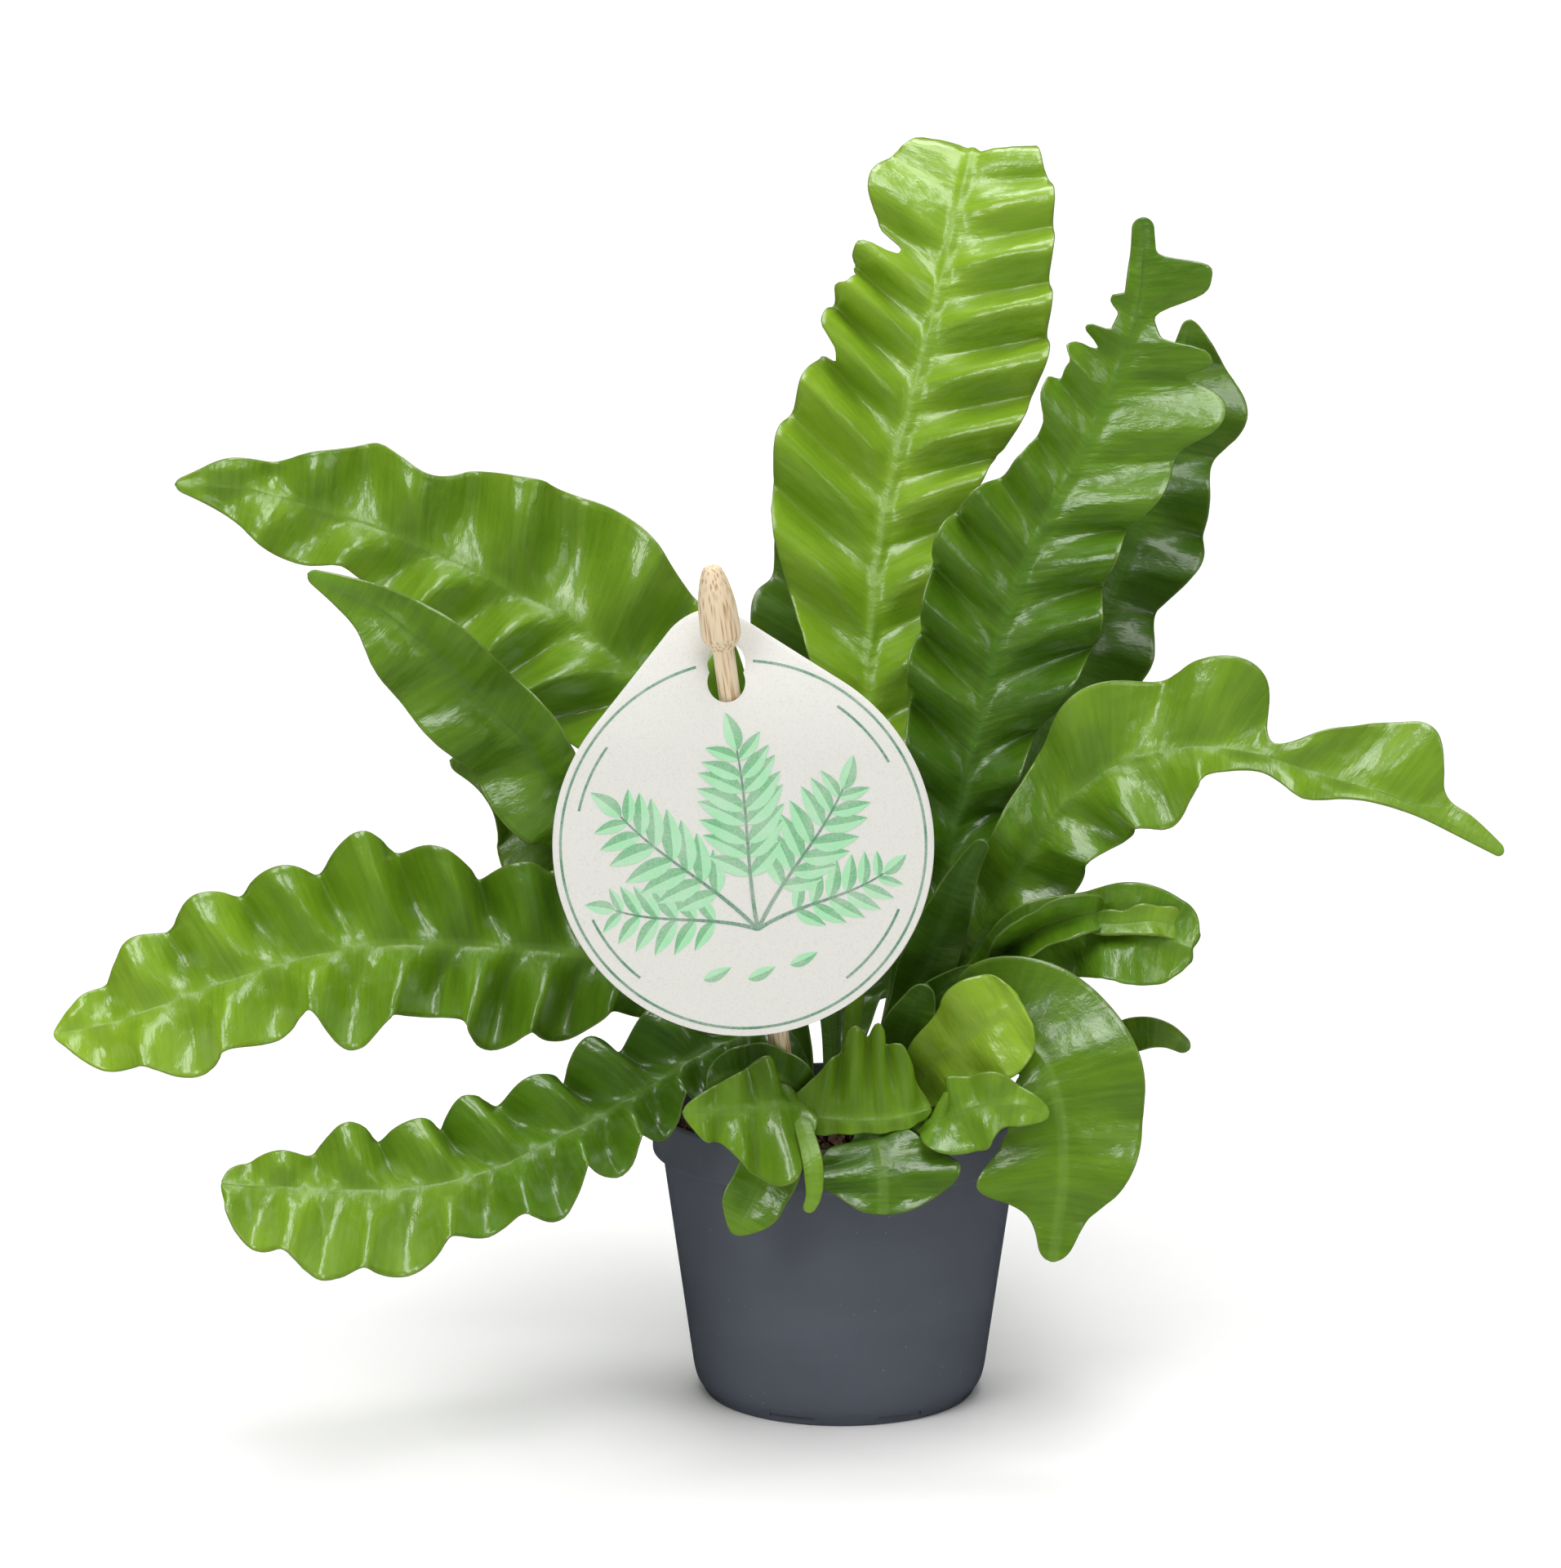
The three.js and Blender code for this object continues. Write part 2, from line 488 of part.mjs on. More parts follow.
// Point on a frond's upper face and the direction across its thickness, v from -1 left to 1 right
function frondFrame(frond) {
  const rib = midrib(frond.path);
  return (u) => {
    const along = rib.along(u);
    const up = new THREE.Vector3(...keyed(frond.face, u));
    up.addScaledVector(along, -up.dot(along)).normalize();
    const across = new THREE.Vector3().crossVectors(along, up);
    const base = rib.at(u);
    const widths = [widthAt(frond.left, u), widthAt(frond.right, u)];
    for (const [side, place, half, height] of frond.lobes ?? []) {
      const swell = height * Math.exp(-(((u - place) / half) ** 4));
      widths[side] = Math.max(0.8, widths[side] + swell);
    }
    const lift = keyed(frond.ruffle, u), fade = 1 - u ** 6;
    const point = (v, extra = 0) => {
      const side = v < 0 ? 0 : 1, a = Math.abs(v), w = widths[side];
      const phase = phaseAt(side ? frond.crestsRight : frond.crestsLeft, u);
      const scallop = frond.scallop[side];
      const env = smooth((u - 0.08) / 0.15) * smooth(w / 12);
      const ruffle = lift * env * a ** 1.5 * Math.sin(phase);
      const reach = w * (1 + scallop * env * a * a * Math.sin(phase)) * a + extra * a;
      const angle = THREE.MathUtils.degToRad(frond.cup[side] * fade);
      const spread = -0.25 * lift * env * a * a * Math.cos(phase) * Math.sign(scallop);
      return base.clone()
        .addScaledVector(across, Math.sign(v) * reach * Math.cos(angle))
        .addScaledVector(up, reach * Math.sin(angle) + ruffle)
        .addScaledVector(along, frond.sweep[side] * w * a * fade + spread);
    };
    return { point, up, widths, length: rib.total };
  };
}

function thicknessAt(u, v, width) {
  const a = Math.abs(v), blade = smooth((width - 3) / 9);
  const petiole = petioleThickness * (1 - 0.55 * a * a);
  const rib = lerp(petioleThickness, ribThicknessTip, u);
  const thin = a < 0.25 ? rib : bladeThickness;
  return Math.max(lerp(petiole, thin, blade), bladeThickness);
}

// Closed thin body: upper face, lower face cut along the same diagonals, rim all round
function frondBody(frond, steps, grow = 0, end = 1) {
  const frameAt = frondFrame(frond);
  const stations = frond.across === 2 ? [-1, 0, 1] : [-1, -0.5, 0, 0.5, 1];
  const points = [], faces = [], row = stations.length, count = (steps + 1) * row;
  const upper = [], lower = [];
  for (let i = 0; i <= steps; i++) {
    const u = end * i / steps, frame = frameAt(u);
    for (const v of stations) {
      const top = frame.point(v, grow).addScaledVector(frame.up, grow);
      const depth = thicknessAt(u, v, frame.widths[v < 0 ? 0 : 1]) + 2 * grow;
      const bottom = top.clone().addScaledVector(frame.up, -depth);
      if (grow && i === 0) { top.z -= grow; bottom.z -= grow; }
      upper.push(top); lower.push(bottom);
    }
  }
  points.push(...upper, ...lower);
  const quad = (a, b, c, d) => faces.push([a, b, c], [a, c, d]);
  for (let i = 0; i < steps; i++) {
    for (let j = 0; j < row - 1; j++) {
      const a = i * row + j, b = a + 1, c = b + row, d = a + row;
      quad(a, b, c, d);
      faces.push([a + count, c + count, b + count], [a + count, d + count, c + count]);
    }
    const l = i * row, r = l + row - 1;
    quad(l, l + row, l + row + count, l + count);
    quad(r, r + count, r + row + count, r + row);
  }
  const t = steps * row;
  for (let j = 0; j < row - 1; j++) {
    quad(j, j + count, j + 1 + count, j + 1);
    quad(t + j, t + j + 1, t + j + 1 + count, t + j + count);
  }
  return solid(points, faces);
}

function solid(points, faces) {
  const mesh = new wasm.Mesh({
    numProp: 3,
    vertProperties: new Float32Array(points.flatMap((p) => [p.x, p.y, p.z])),
    triVerts: new Uint32Array(faces.flat()),
  });
  return new wasm.Manifold(mesh);
}

// Body of revolution about Z from a closed outline of [radius, z] points, counter-clockwise
function revolve(outline, sides) {
  const points = [], faces = [], start = [];
  for (const [r, z] of outline) {
    start.push(points.length);
    const n = r === 0 ? 1 : sides;
    for (let i = 0; i < n; i++) {
      const a = 2 * Math.PI * i / sides;
      points.push(new THREE.Vector3(r * Math.cos(a), r * Math.sin(a), z));
    }
  }
  outline.forEach(([r], k) => {
    const m = (k + 1) % outline.length, rm = outline[m][0];
    if (r === 0 && rm === 0) return;
    for (let i = 0; i < sides; i++) {
      const j = (i + 1) % sides;
      const a = start[k] + (r ? i : 0), b = start[k] + (r ? j : 0);
      const c = start[m] + (rm ? j : 0), d = start[m] + (rm ? i : 0);
      if (r) faces.push([a, b, c]);
      if (rm) faces.push([a, c, d]);
    }
  });
  return solid(points, faces.filter(([a, b, c]) => a !== b && b !== c && a !== c));
}

function cylinder(from, direction, length, radius, radiusEnd = radius, sides = 20) {
  const axis = direction.clone().normalize();
  const turn = new THREE.Quaternion().setFromUnitVectors(new THREE.Vector3(0, 0, 1), axis);
  const geometry = revolve([[0, 0], [radius, 0], [radiusEnd, length], [0, length]], sides);
  const m = new THREE.Matrix4().compose(from, turn, new THREE.Vector3(1, 1, 1));
  return geometry.transform(m.elements);
}

// Box as a solid, its height along Z first
function block(height, width, depth, centre) {
  const box = new THREE.BoxGeometry(depth, width, height).translate(centre.x, centre.y, centre.z);
  box.deleteAttribute('normal');
  box.deleteAttribute('uv');
  const closed = mergeVertices(box), index = closed.index.array, at = closed.attributes.position;
  const points = [], faces = [];
  for (let i = 0; i < at.count; i++) points.push(new THREE.Vector3().fromBufferAttribute(at, i));
  for (let i = 0; i < index.length; i += 3) faces.push([index[i], index[i + 1], index[i + 2]]);
  return solid(points, faces);
}

// Pot: tapered wall with a rim band, foot ring cut into feet, centre pad and drain holes
function buildPot() {
  const inner = (z) => lerp(wallFootRadius, wallTopRadius, (z - 8) / (potHeight - bandHeight - 8)) - wall;
  const band = potHeight - bandHeight;
  let pot = revolve([
    [0, 0], [10, 0], [12, 2.2], [footRadius - 2.2, 2.2], [footRadius - 2.2, 0], [footRadius, 0],
    [footRadius + 1.4, 2.6], [wallFootRadius - 0.9, 4.6], [wallFootRadius, 8], [wallTopRadius, band],
    [rimRadius - 0.3, band], [rimRadius, band + 0.6], [rimRadius, potHeight - 1],
    [rimRadius - 0.6, potHeight], [rimRadius - wall, potHeight], [rimRadius - wall - 0.4, potHeight - 1],
    [rimRadius - wall - 0.4, band + 3], [inner(band), band + 0.6], [inner(8), 8],
    [inner(8) - 3.4, floorHeight], [0, floorHeight],
  ], potSides);
  for (let i = 0; i < footCount; i++) {
    const notch = block(footGapDepth * 2, 15, 6, new THREE.Vector3(footRadius + 3, 0, 0));
    pot = pot.subtract(notch.rotate([0, 0, 249.7 + 360 / footCount * i]));
  }
  for (let i = 0; i < drainHoles; i++) {
    const angle = 2 * Math.PI * (i + 0.5) / drainHoles;
    const from = new THREE.Vector3(29 * Math.cos(angle), 29 * Math.sin(angle), -1);
    pot = pot.subtract(cylinder(from, new THREE.Vector3(0, 0, 1), 8, 4, 4, 16));
  }
  return pot;
}

// Bamboo pin: round shank through the card's hole, shouldered head with a blunt point
const pinFoot = new THREE.Vector3(-10.8, -36.6, 60);
const pinAtCard = new THREE.Vector3(-35, -78, 243);
const pinAxis = pinAtCard.clone().sub(pinFoot).normalize();
const headStart = pinAtCard.distanceTo(pinFoot) + 7;
function buildPin() {
  const turn = new THREE.Quaternion().setFromUnitVectors(new THREE.Vector3(0, 0, 1), pinAxis);
  const m = new THREE.Matrix4().compose(pinFoot, turn, new THREE.Vector3(1, 1, 1));
  const r = pinHeadRadius, s = headStart, l = pinHeadLength;
  return revolve([
    [0, 0], [1, 0], [pinRadius, 9], [pinRadius, s], [r - 0.4, s + 3.6], [r, s + 4.6],
    [r - 0.3, s + l * 0.55], [r - 1.6, s + l * 0.8], [r - 3.2, s + l - 0.8], [r - 4.2, s + l], [0, s + l],
  ], 18).transform(m.elements);
}

// Hang card: round below, drawn up to a blunt peak, bent back a little where the pin holds it
const cardCentre = new THREE.Vector3(-30, -86, 192);
const cardTurn = THREE.MathUtils.degToRad(10);
const cardLean = 0.079;
const cardBend = 0.006;
function cardOutline(angle) {
  const up = new THREE.Vector2(Math.cos(angle), Math.sin(angle));
  const rise = Math.abs(Math.PI / 2 - angle);
  const peak = cardRadius * 1.23, side = THREE.MathUtils.degToRad(41);
  if (rise >= side) return up.multiplyScalar(cardRadius);
  const straight = cardRadius / Math.cos(side - rise);
  const blunt = peak / Math.cos(rise * 1.0);
  return up.multiplyScalar(Math.min(straight, blunt, lerp(straight, blunt, 0.5) - 0.6));
}
function cardPoint(p, depth) {
  const a = p.x * Math.cos(cardTurn) - p.y * Math.sin(cardTurn);
  const b = p.x * Math.sin(cardTurn) + p.y * Math.cos(cardTurn);
  const bend = cardBend * Math.max(0, b - 25) ** 2;
  return new THREE.Vector3(cardCentre.x + a, cardCentre.y + cardLean * b + bend + depth, cardCentre.z + b);
}
function buildCard() {
  const sides = 40, rings = [0.5, 0.82, 1], points = [], faces = [];
  for (const depth of [0, cardThickness]) {
    points.push(cardPoint(new THREE.Vector2(0, 0), depth));
    for (const ring of rings) {
      for (let i = 0; i < sides; i++) {
        points.push(cardPoint(cardOutline(2 * Math.PI * i / sides).multiplyScalar(ring), depth));
      }
    }
  }
  const layer = 1 + rings.length * sides;
  for (let i = 0; i < sides; i++) {
    const j = (i + 1) % sides;
    faces.push([0, 1 + i, 1 + j], [layer, layer + 1 + j, layer + 1 + i]);
    for (let k = 0; k < rings.length - 1; k++) {
      const a = 1 + k * sides, b = a + sides;
      faces.push([a + i, b + i, b + j], [a + i, b + j, a + j]);
      faces.push([layer + a + i, layer + b + j, layer + b + i], [layer + a + i, layer + a + j, layer + b + j]);
    }
    const e = 1 + (rings.length - 1) * sides;
    faces.push([e + i, layer + e + i, layer + e + j], [e + i, layer + e + j, e + j]);
  }
  let card = solid(points, faces);
  for (const rise of [-2, 3]) {
    const from = new THREE.Vector3(-35, -90, 240.6 + rise);
    card = card.subtract(cylinder(from, new THREE.Vector3(0, 1, 0.12), 24, 5.6, 5.6, 16));
  }
  return card;
}

// Growing medium fills the pot up to the brim, with a dish for the crown and a hole for the pin
function buildSoil() {
  const gap = wall + clearance, inner = (z) => lerp(wallFootRadius, wallTopRadius, (z - 8) / 71) - gap;
  const soil = revolve([
    [0, floorHeight + clearance], [inner(8) - 3.6, floorHeight + clearance], [inner(8), 8.4],
    [inner(79), 80.3], [rimRadius - gap - 0.5, 82.6], [rimRadius - gap - 0.5, soilTop - 1.2],
    [40, soilTop], [crownRadius + clearance, soilTop], [crownRadius + clearance, soilTop - 5], [0, soilTop - 5],
  ], potSides);
  return soil.subtract(cylinder(pinFoot.clone().addScaledVector(pinAxis, -0.4), pinAxis, 60, pinRadius + clearance));
}

// Crown: low scaly dome with one socket for each frond
function buildCrown(sockets) {
  const base = soilTop - 5 + clearance;
  let crown = revolve([
    [0, base], [crownRadius, base], [crownRadius, base + 5.5], [crownRadius - 3, base + 8.6],
    [crownRadius - 11, base + 12], [0, base + crownHeight + 3],
  ], 24);
  for (const socket of sockets) crown = crown.subtract(socket);
  return crown;
}

function meshOf(name, body, colour, roughness) {
  const { vertProperties, triVerts, numProp } = body.getMesh();
  const position = new Float32Array(vertProperties.length / numProp * 3);
  for (let i = 0; i < position.length / 3; i++) {
    for (let j = 0; j < 3; j++) position[3 * i + j] = vertProperties[numProp * i + j];
  }
  const geometry = new THREE.BufferGeometry();
  geometry.setAttribute('position', new THREE.BufferAttribute(position, 3));
  geometry.setIndex(new THREE.BufferAttribute(new Uint32Array(triVerts), 1));
  const closed = mergeVertices(geometry, 1e-5);
  closed.computeVertexNormals();
  const mesh = new THREE.Mesh(closed, new THREE.MeshStandardMaterial({ color: colour, roughness }));
  mesh.name = name;
  return mesh;
}

const plant = new THREE.Group();
plant.name = 'birds_nest_fern';
const greens = [0x7c9c3f, 0x5d8138, 0x4c6b33, 0x6d9139];
const sockets = [];
fronds.filter((frond) => !frond.branchOf).forEach((frond, k) => {
  const length = midrib(frond.path).total;
  let body = frondBody(frond, frond.steps);
  for (const branch of fronds.filter((other) => other.branchOf === frond.name)) {
    body = body.add(frondBody(branch, branch.steps));
  }
  plant.add(meshOf(`frond_${frond.name}`, body, greens[k % 4], 0.35));
  sockets.push(frondBody({ ...frond, across: 2 }, 3, clearance + 0.25, 18 / length));
});
plant.add(meshOf('pot', buildPot(), 0x5f6369, 0.6));
plant.add(meshOf('soil', buildSoil(), 0x3b2d22, 0.95));
plant.add(meshOf('crown', buildCrown(sockets), 0x4a3423, 0.9));
plant.add(meshOf('bamboo_pin', buildPin(), 0xd6b98a, 0.55));
plant.add(meshOf('hang_card', buildCard(), 0xd9d5cb, 0.7));

export default plant;
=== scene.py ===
# Bird's nest fern with waved fronds in a small nursery pot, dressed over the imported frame.
# Blender 4.5. Sizes of the plant, pot and card are millimetres, the scene is in metres, +Z up.
import bpy
import math
import numpy as np
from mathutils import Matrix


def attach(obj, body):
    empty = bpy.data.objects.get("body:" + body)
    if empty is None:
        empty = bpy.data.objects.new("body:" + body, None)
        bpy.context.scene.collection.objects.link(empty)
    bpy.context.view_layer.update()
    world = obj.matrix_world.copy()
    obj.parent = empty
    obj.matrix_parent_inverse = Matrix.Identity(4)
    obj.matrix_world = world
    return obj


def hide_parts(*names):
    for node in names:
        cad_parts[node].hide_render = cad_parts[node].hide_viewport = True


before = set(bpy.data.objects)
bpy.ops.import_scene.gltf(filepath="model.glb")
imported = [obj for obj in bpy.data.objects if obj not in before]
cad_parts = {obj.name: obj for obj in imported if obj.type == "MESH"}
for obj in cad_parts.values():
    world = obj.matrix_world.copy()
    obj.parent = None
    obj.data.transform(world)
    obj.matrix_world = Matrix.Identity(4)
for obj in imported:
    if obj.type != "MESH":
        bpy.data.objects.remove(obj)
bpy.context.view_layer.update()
print("frame loaded:", len(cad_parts), "solids")

mm = 0.001
scene = bpy.context.scene


def colour(code):
    # sRGB hex to the linear values that shaders read
    channels = [int(code[k:k + 2], 16) / 255 for k in (1, 3, 5)]
    return [c / 12.92 if c <= 0.04045 else ((c + 0.055) / 1.055) ** 2.4 for c in channels] + [1]


def addNode(tree, kind, inputs=None, **settings):
    # inputs take a value, a node (its first output) or a (node, output) pair
    node = tree.nodes.new(kind)
    for key, value in settings.items():
        setattr(node, key, value)
    for key, value in (inputs or {}).items():
        if isinstance(value, bpy.types.Node):
            tree.links.new(value.outputs[0], node.inputs[key])
        elif isinstance(value, tuple) and isinstance(value[0], bpy.types.Node):
            tree.links.new(value[0].outputs[value[1]], node.inputs[key])
        else:
            node.inputs[key].default_value = value
    return node


def cellScale(*sizes):
    # pattern cells in a metre along x, y and z, from one size or three in millimetres
    return [1 / (size * mm) for size in (sizes * 3)[:3]]


def newMaterial(name):
    material = bpy.data.materials.new(name)
    material.use_nodes = True
    material.node_tree.nodes.clear()
    return material, material.node_tree


def newTree(name, sizes):
    # a geometry tree with named inputs, each a kind and a default
    tree = bpy.data.node_groups.new(name, "GeometryNodeTree")
    tree.interface.new_socket("Geometry", in_out="INPUT", socket_type="NodeSocketGeometry")
    tree.interface.new_socket("Geometry", in_out="OUTPUT", socket_type="NodeSocketGeometry")
    for label, (kind, value) in sizes.items():
        socket = tree.interface.new_socket(label, in_out="INPUT", socket_type="NodeSocket" + kind)
        if value is not None:
            socket.default_value = value
    return tree, tree.nodes.new("NodeGroupInput")


def closeTree(tree, geometry, material):
    # the export drops instances, so every tree ends in real geometry with its material
    real = addNode(tree, "GeometryNodeRealizeInstances", {0: geometry})
    dressed = addNode(tree, "GeometryNodeSetMaterial", {"Geometry": real, "Material": material})
    addNode(tree, "NodeGroupOutput", {0: dressed})


def grow(piece, tree, sizes):
    # runs the tree on the piece and keeps the result as its plain mesh
    modifier = piece.modifiers.new(tree.name, "NODES")
    modifier.node_group = tree
    for item in tree.interface.items_tree:
        if item.item_type == "SOCKET" and item.in_out == "INPUT" and item.name in sizes:
            modifier[item.identifier] = sizes[item.name]
    piece.update_tag()
    bpy.context.view_layer.update()
    done = piece.evaluated_get(bpy.context.evaluated_depsgraph_get())
    mesh = bpy.data.meshes.new_from_object(done)
    piece.modifiers.remove(modifier)
    piece.data = mesh
    return piece


def newPiece(name, points, faces, material=None):
    # points in millimetres; faces are rows of corners, -1 where a row is a triangle
    mesh = bpy.data.meshes.new(name)
    points = np.asarray(points, float) * mm
    faces = np.asarray(faces)
    keep = faces >= 0
    counts = keep.sum(1)
    mesh.vertices.add(len(points))
    mesh.vertices.foreach_set("co", points.astype(np.float32).ravel())
    mesh.loops.add(int(counts.sum()))
    mesh.loops.foreach_set("vertex_index", faces[keep].astype(np.int32))
    mesh.polygons.add(len(faces))
    mesh.polygons.foreach_set("loop_start", np.r_[0, np.cumsum(counts)[:-1]].astype(np.int32))
    mesh.update(calc_edges=True)
    mesh.validate()
    mesh.shade_smooth()
    if material:
        mesh.materials.append(material)
    piece = bpy.data.objects.new(name, mesh)
    scene.collection.objects.link(piece)
    return piece


def setAttribute(mesh, name, kind, values):
    layer = mesh.attributes.new(name, kind, "POINT")
    layer.data.foreach_set("vector" if kind == "FLOAT_VECTOR" else "value",
                           np.asarray(values, np.float32).ravel())


def fit(piece, nodes):
    # every piece rides on the one body and takes the place of its solids
    for node in nodes:
        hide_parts(node)
    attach(piece, "root")


# Camera at the photograph's angle, its place in metres
camera = {"place": (-0.019, -1.250, 0.396), "pitch": 9.05, "lens": 91.875, "sensor": 36}
eye = bpy.data.objects.new("camera", bpy.data.cameras.new("camera"))
eye.data.lens = camera["lens"]
eye.data.sensor_width = camera["sensor"]
eye.data.clip_start = 0.05
eye.location = camera["place"]
eye.rotation_euler = (math.radians(90 - camera["pitch"]), 0, 0)
scene.collection.objects.link(eye)
scene.camera = eye


# Leaf: living frond blade, waxed by its own cuticle. A clear film over a soft green body, so
# broad bluish highlights lie along the folds. Fine veins run out from the rib a millimetre or
# so apart, the rib is paler and greyer, partly its own colour and partly a painted sheen, the
# margin is a thin dry line and the underside is dull.
# rib: the rib's paler, greyer green, partly its own colour and partly a painted sheen
leafFinishes = {
    "leaf_bright": {"title": "fern_blade_fresh", "deep": "#3e640c", "mid": "#6a9216", "bright": "#93b62b",
                    "rib": "#86a650", "under": "#6f8e38", "rough": 0.3, "coat": 0.9, "seed": 1.0},
    "leaf_green": {"title": "fern_blade_green", "deep": "#30530b", "mid": "#588213", "bright": "#84a828",
                   "rib": "#6f9142", "under": "#5f8034", "rough": 0.3, "coat": 0.9, "seed": 2.0},
    "leaf_deep": {"title": "fern_blade_deep", "deep": "#284805", "mid": "#42690b", "bright": "#6c951f",
                  "rib": "#587f3c", "under": "#3c6020", "rough": 0.28, "coat": 0.8, "seed": 3.0},
    "leaf_olive": {"title": "fern_blade_shaded", "deep": "#274705", "mid": "#44690b", "bright": "#70901e",
                   "rib": "#557736", "under": "#456520", "rough": 0.34, "coat": 0.45, "seed": 4.0},
}
# Patterns on the blade: size along the rib in millimetres, how many times longer outwards,
# and the share in the tone
bladePatterns = {
    "vein": {"size": 1.25, "stretch": 16, "detail": 2.0, "share": 0.38},
    "streak": {"size": 6.5, "stretch": 5, "detail": 2.0, "share": 0.28},
    "blotch": {"size": 24, "stretch": 1.4, "detail": 3.0, "share": 0.48},
    "pucker": {"size": 1.5, "stretch": 2.2, "detail": 3.0},
}
bladeSkin = {"ribHalfWidth": 1.7, "ribTintAndSheenShare": 0.2, "ribCoat": 0.25, "margin": "#7d8a4a",
             "marginStart": 0.985, "marginShare": 0.4, "underShare": 0.6, "underRough": 0.16,
             "roughSwing": 0.16, "veinBump": 0.07, "puckerBump": 0.24, "specular": 0.45,
             "ior": 1.47, "coatRough": 0.19, "coatIor": 1.5}


def leafMaterial(finish):
    material, tree = newMaterial(finish["title"])
    place = addNode(tree, "ShaderNodeAttribute", attribute_name="bladePlace")
    tone = addNode(tree, "ShaderNodeAttribute", attribute_name="tone")
    reach = addNode(tree, "ShaderNodeAttribute", attribute_name="reach")
    under = addNode(tree, "ShaderNodeAttribute", attribute_name="under")
    patterns = {}
    for key, pattern in bladePatterns.items():
        size, stretch = pattern["size"], pattern["stretch"]
        scaled = addNode(tree, "ShaderNodeVectorMath", {0: (place, "Vector"),
                         1: (1 / (size * mm), 1 / (size * stretch * mm), finish["seed"])},
                         operation="MULTIPLY")
        patterns[key] = addNode(tree, "ShaderNodeTexNoise", {"Vector": scaled, "Scale": 1.0,
                                "Detail": pattern["detail"], "Roughness": 0.55})
    # tone along the frond, broken by streaks, blotches and veins
    lively = (tone, "Fac")
    for key in ("streak", "blotch", "vein"):
        swing = addNode(tree, "ShaderNodeMath", {0: patterns[key], 1: -0.5}, operation="ADD")
        lively = addNode(tree, "ShaderNodeMath", {0: swing, 1: bladePatterns[key]["share"], 2: lively},
                         operation="MULTIPLY_ADD")
    ramp = addNode(tree, "ShaderNodeValToRGB", {0: lively})
    ramp.color_ramp.elements[0].color = colour(finish["deep"])
    ramp.color_ramp.elements[1].color = colour(finish["bright"])
    ramp.color_ramp.elements.new(0.5).color = colour(finish["mid"])
    # the rib is paler and duller than the blade, its paler grey-green partly its own colour and
    # partly a painted sheen; the margin is dry, the underside is matt
    parts = addNode(tree, "ShaderNodeSeparateXYZ", {0: (place, "Vector")})
    side = addNode(tree, "ShaderNodeMath", {0: (parts, 1)}, operation="ABSOLUTE")
    rib = bladeSkin["ribHalfWidth"] * mm
    ribTintAndSheen = addNode(tree, "ShaderNodeMapRange", {0: side, 1: rib * 0.55, 2: rib * 1.4,
                    3: bladeSkin["ribTintAndSheenShare"], 4: 0.0}, interpolation_type="SMOOTHSTEP")
    ribCoat = addNode(tree, "ShaderNodeMapRange", {0: side, 1: rib * 0.7, 2: rib * 2.6,
                      3: finish["coat"] * bladeSkin["ribCoat"], 4: finish["coat"]},
                      interpolation_type="SMOOTHSTEP")
    ribbed = addNode(tree, "ShaderNodeMix", {0: ribTintAndSheen, 6: (ramp, 0), 7: colour(finish["rib"])},
                     data_type="RGBA")
    atMargin = addNode(tree, "ShaderNodeMapRange", {0: (reach, "Fac"), 1: bladeSkin["marginStart"],
                       2: 1.0, 3: 0.0, 4: bladeSkin["marginShare"]}, interpolation_type="SMOOTHSTEP")
    edged = addNode(tree, "ShaderNodeMix", {0: atMargin, 6: (ribbed, 2),
                    7: colour(bladeSkin["margin"])}, data_type="RGBA")
    below = addNode(tree, "ShaderNodeMath", {0: (under, "Fac"), 1: bladeSkin["underShare"]},
                    operation="MULTIPLY")
    skin = addNode(tree, "ShaderNodeMix", {0: below, 6: (edged, 2), 7: colour(finish["under"])},
                   data_type="RGBA")
    dull = addNode(tree, "ShaderNodeMath", {0: (under, "Fac"), 1: bladeSkin["underRough"],
                   2: finish["rough"]}, operation="MULTIPLY_ADD")
    uneven = addNode(tree, "ShaderNodeMath", {0: patterns["pucker"], 1: bladeSkin["roughSwing"],
                     2: dull}, operation="MULTIPLY_ADD")
    veinBump = addNode(tree, "ShaderNodeBump", {"Height": patterns["vein"], "Strength": 1.0,
                       "Distance": bladeSkin["veinBump"] * mm})
    puckerBump = addNode(tree, "ShaderNodeBump", {"Height": patterns["pucker"], "Strength": 1.0,
                         "Distance": bladeSkin["puckerBump"] * mm, "Normal": veinBump})
    body = addNode(tree, "ShaderNodeBsdfPrincipled", {"Base Color": (skin, 2), "Roughness": uneven,
                   "Normal": puckerBump, "IOR": bladeSkin["ior"],
                   "Specular IOR Level": bladeSkin["specular"], "Coat Weight": ribCoat,
                   "Coat Roughness": bladeSkin["coatRough"], "Coat IOR": bladeSkin["coatIor"],
                   "Coat Normal": puckerBump})
    addNode(tree, "ShaderNodeOutputMaterial", {0: body})
    return material


leafMaterials = {slot: leafMaterial(finish) for slot, finish in leafFinishes.items()}
print("leaf materials made")

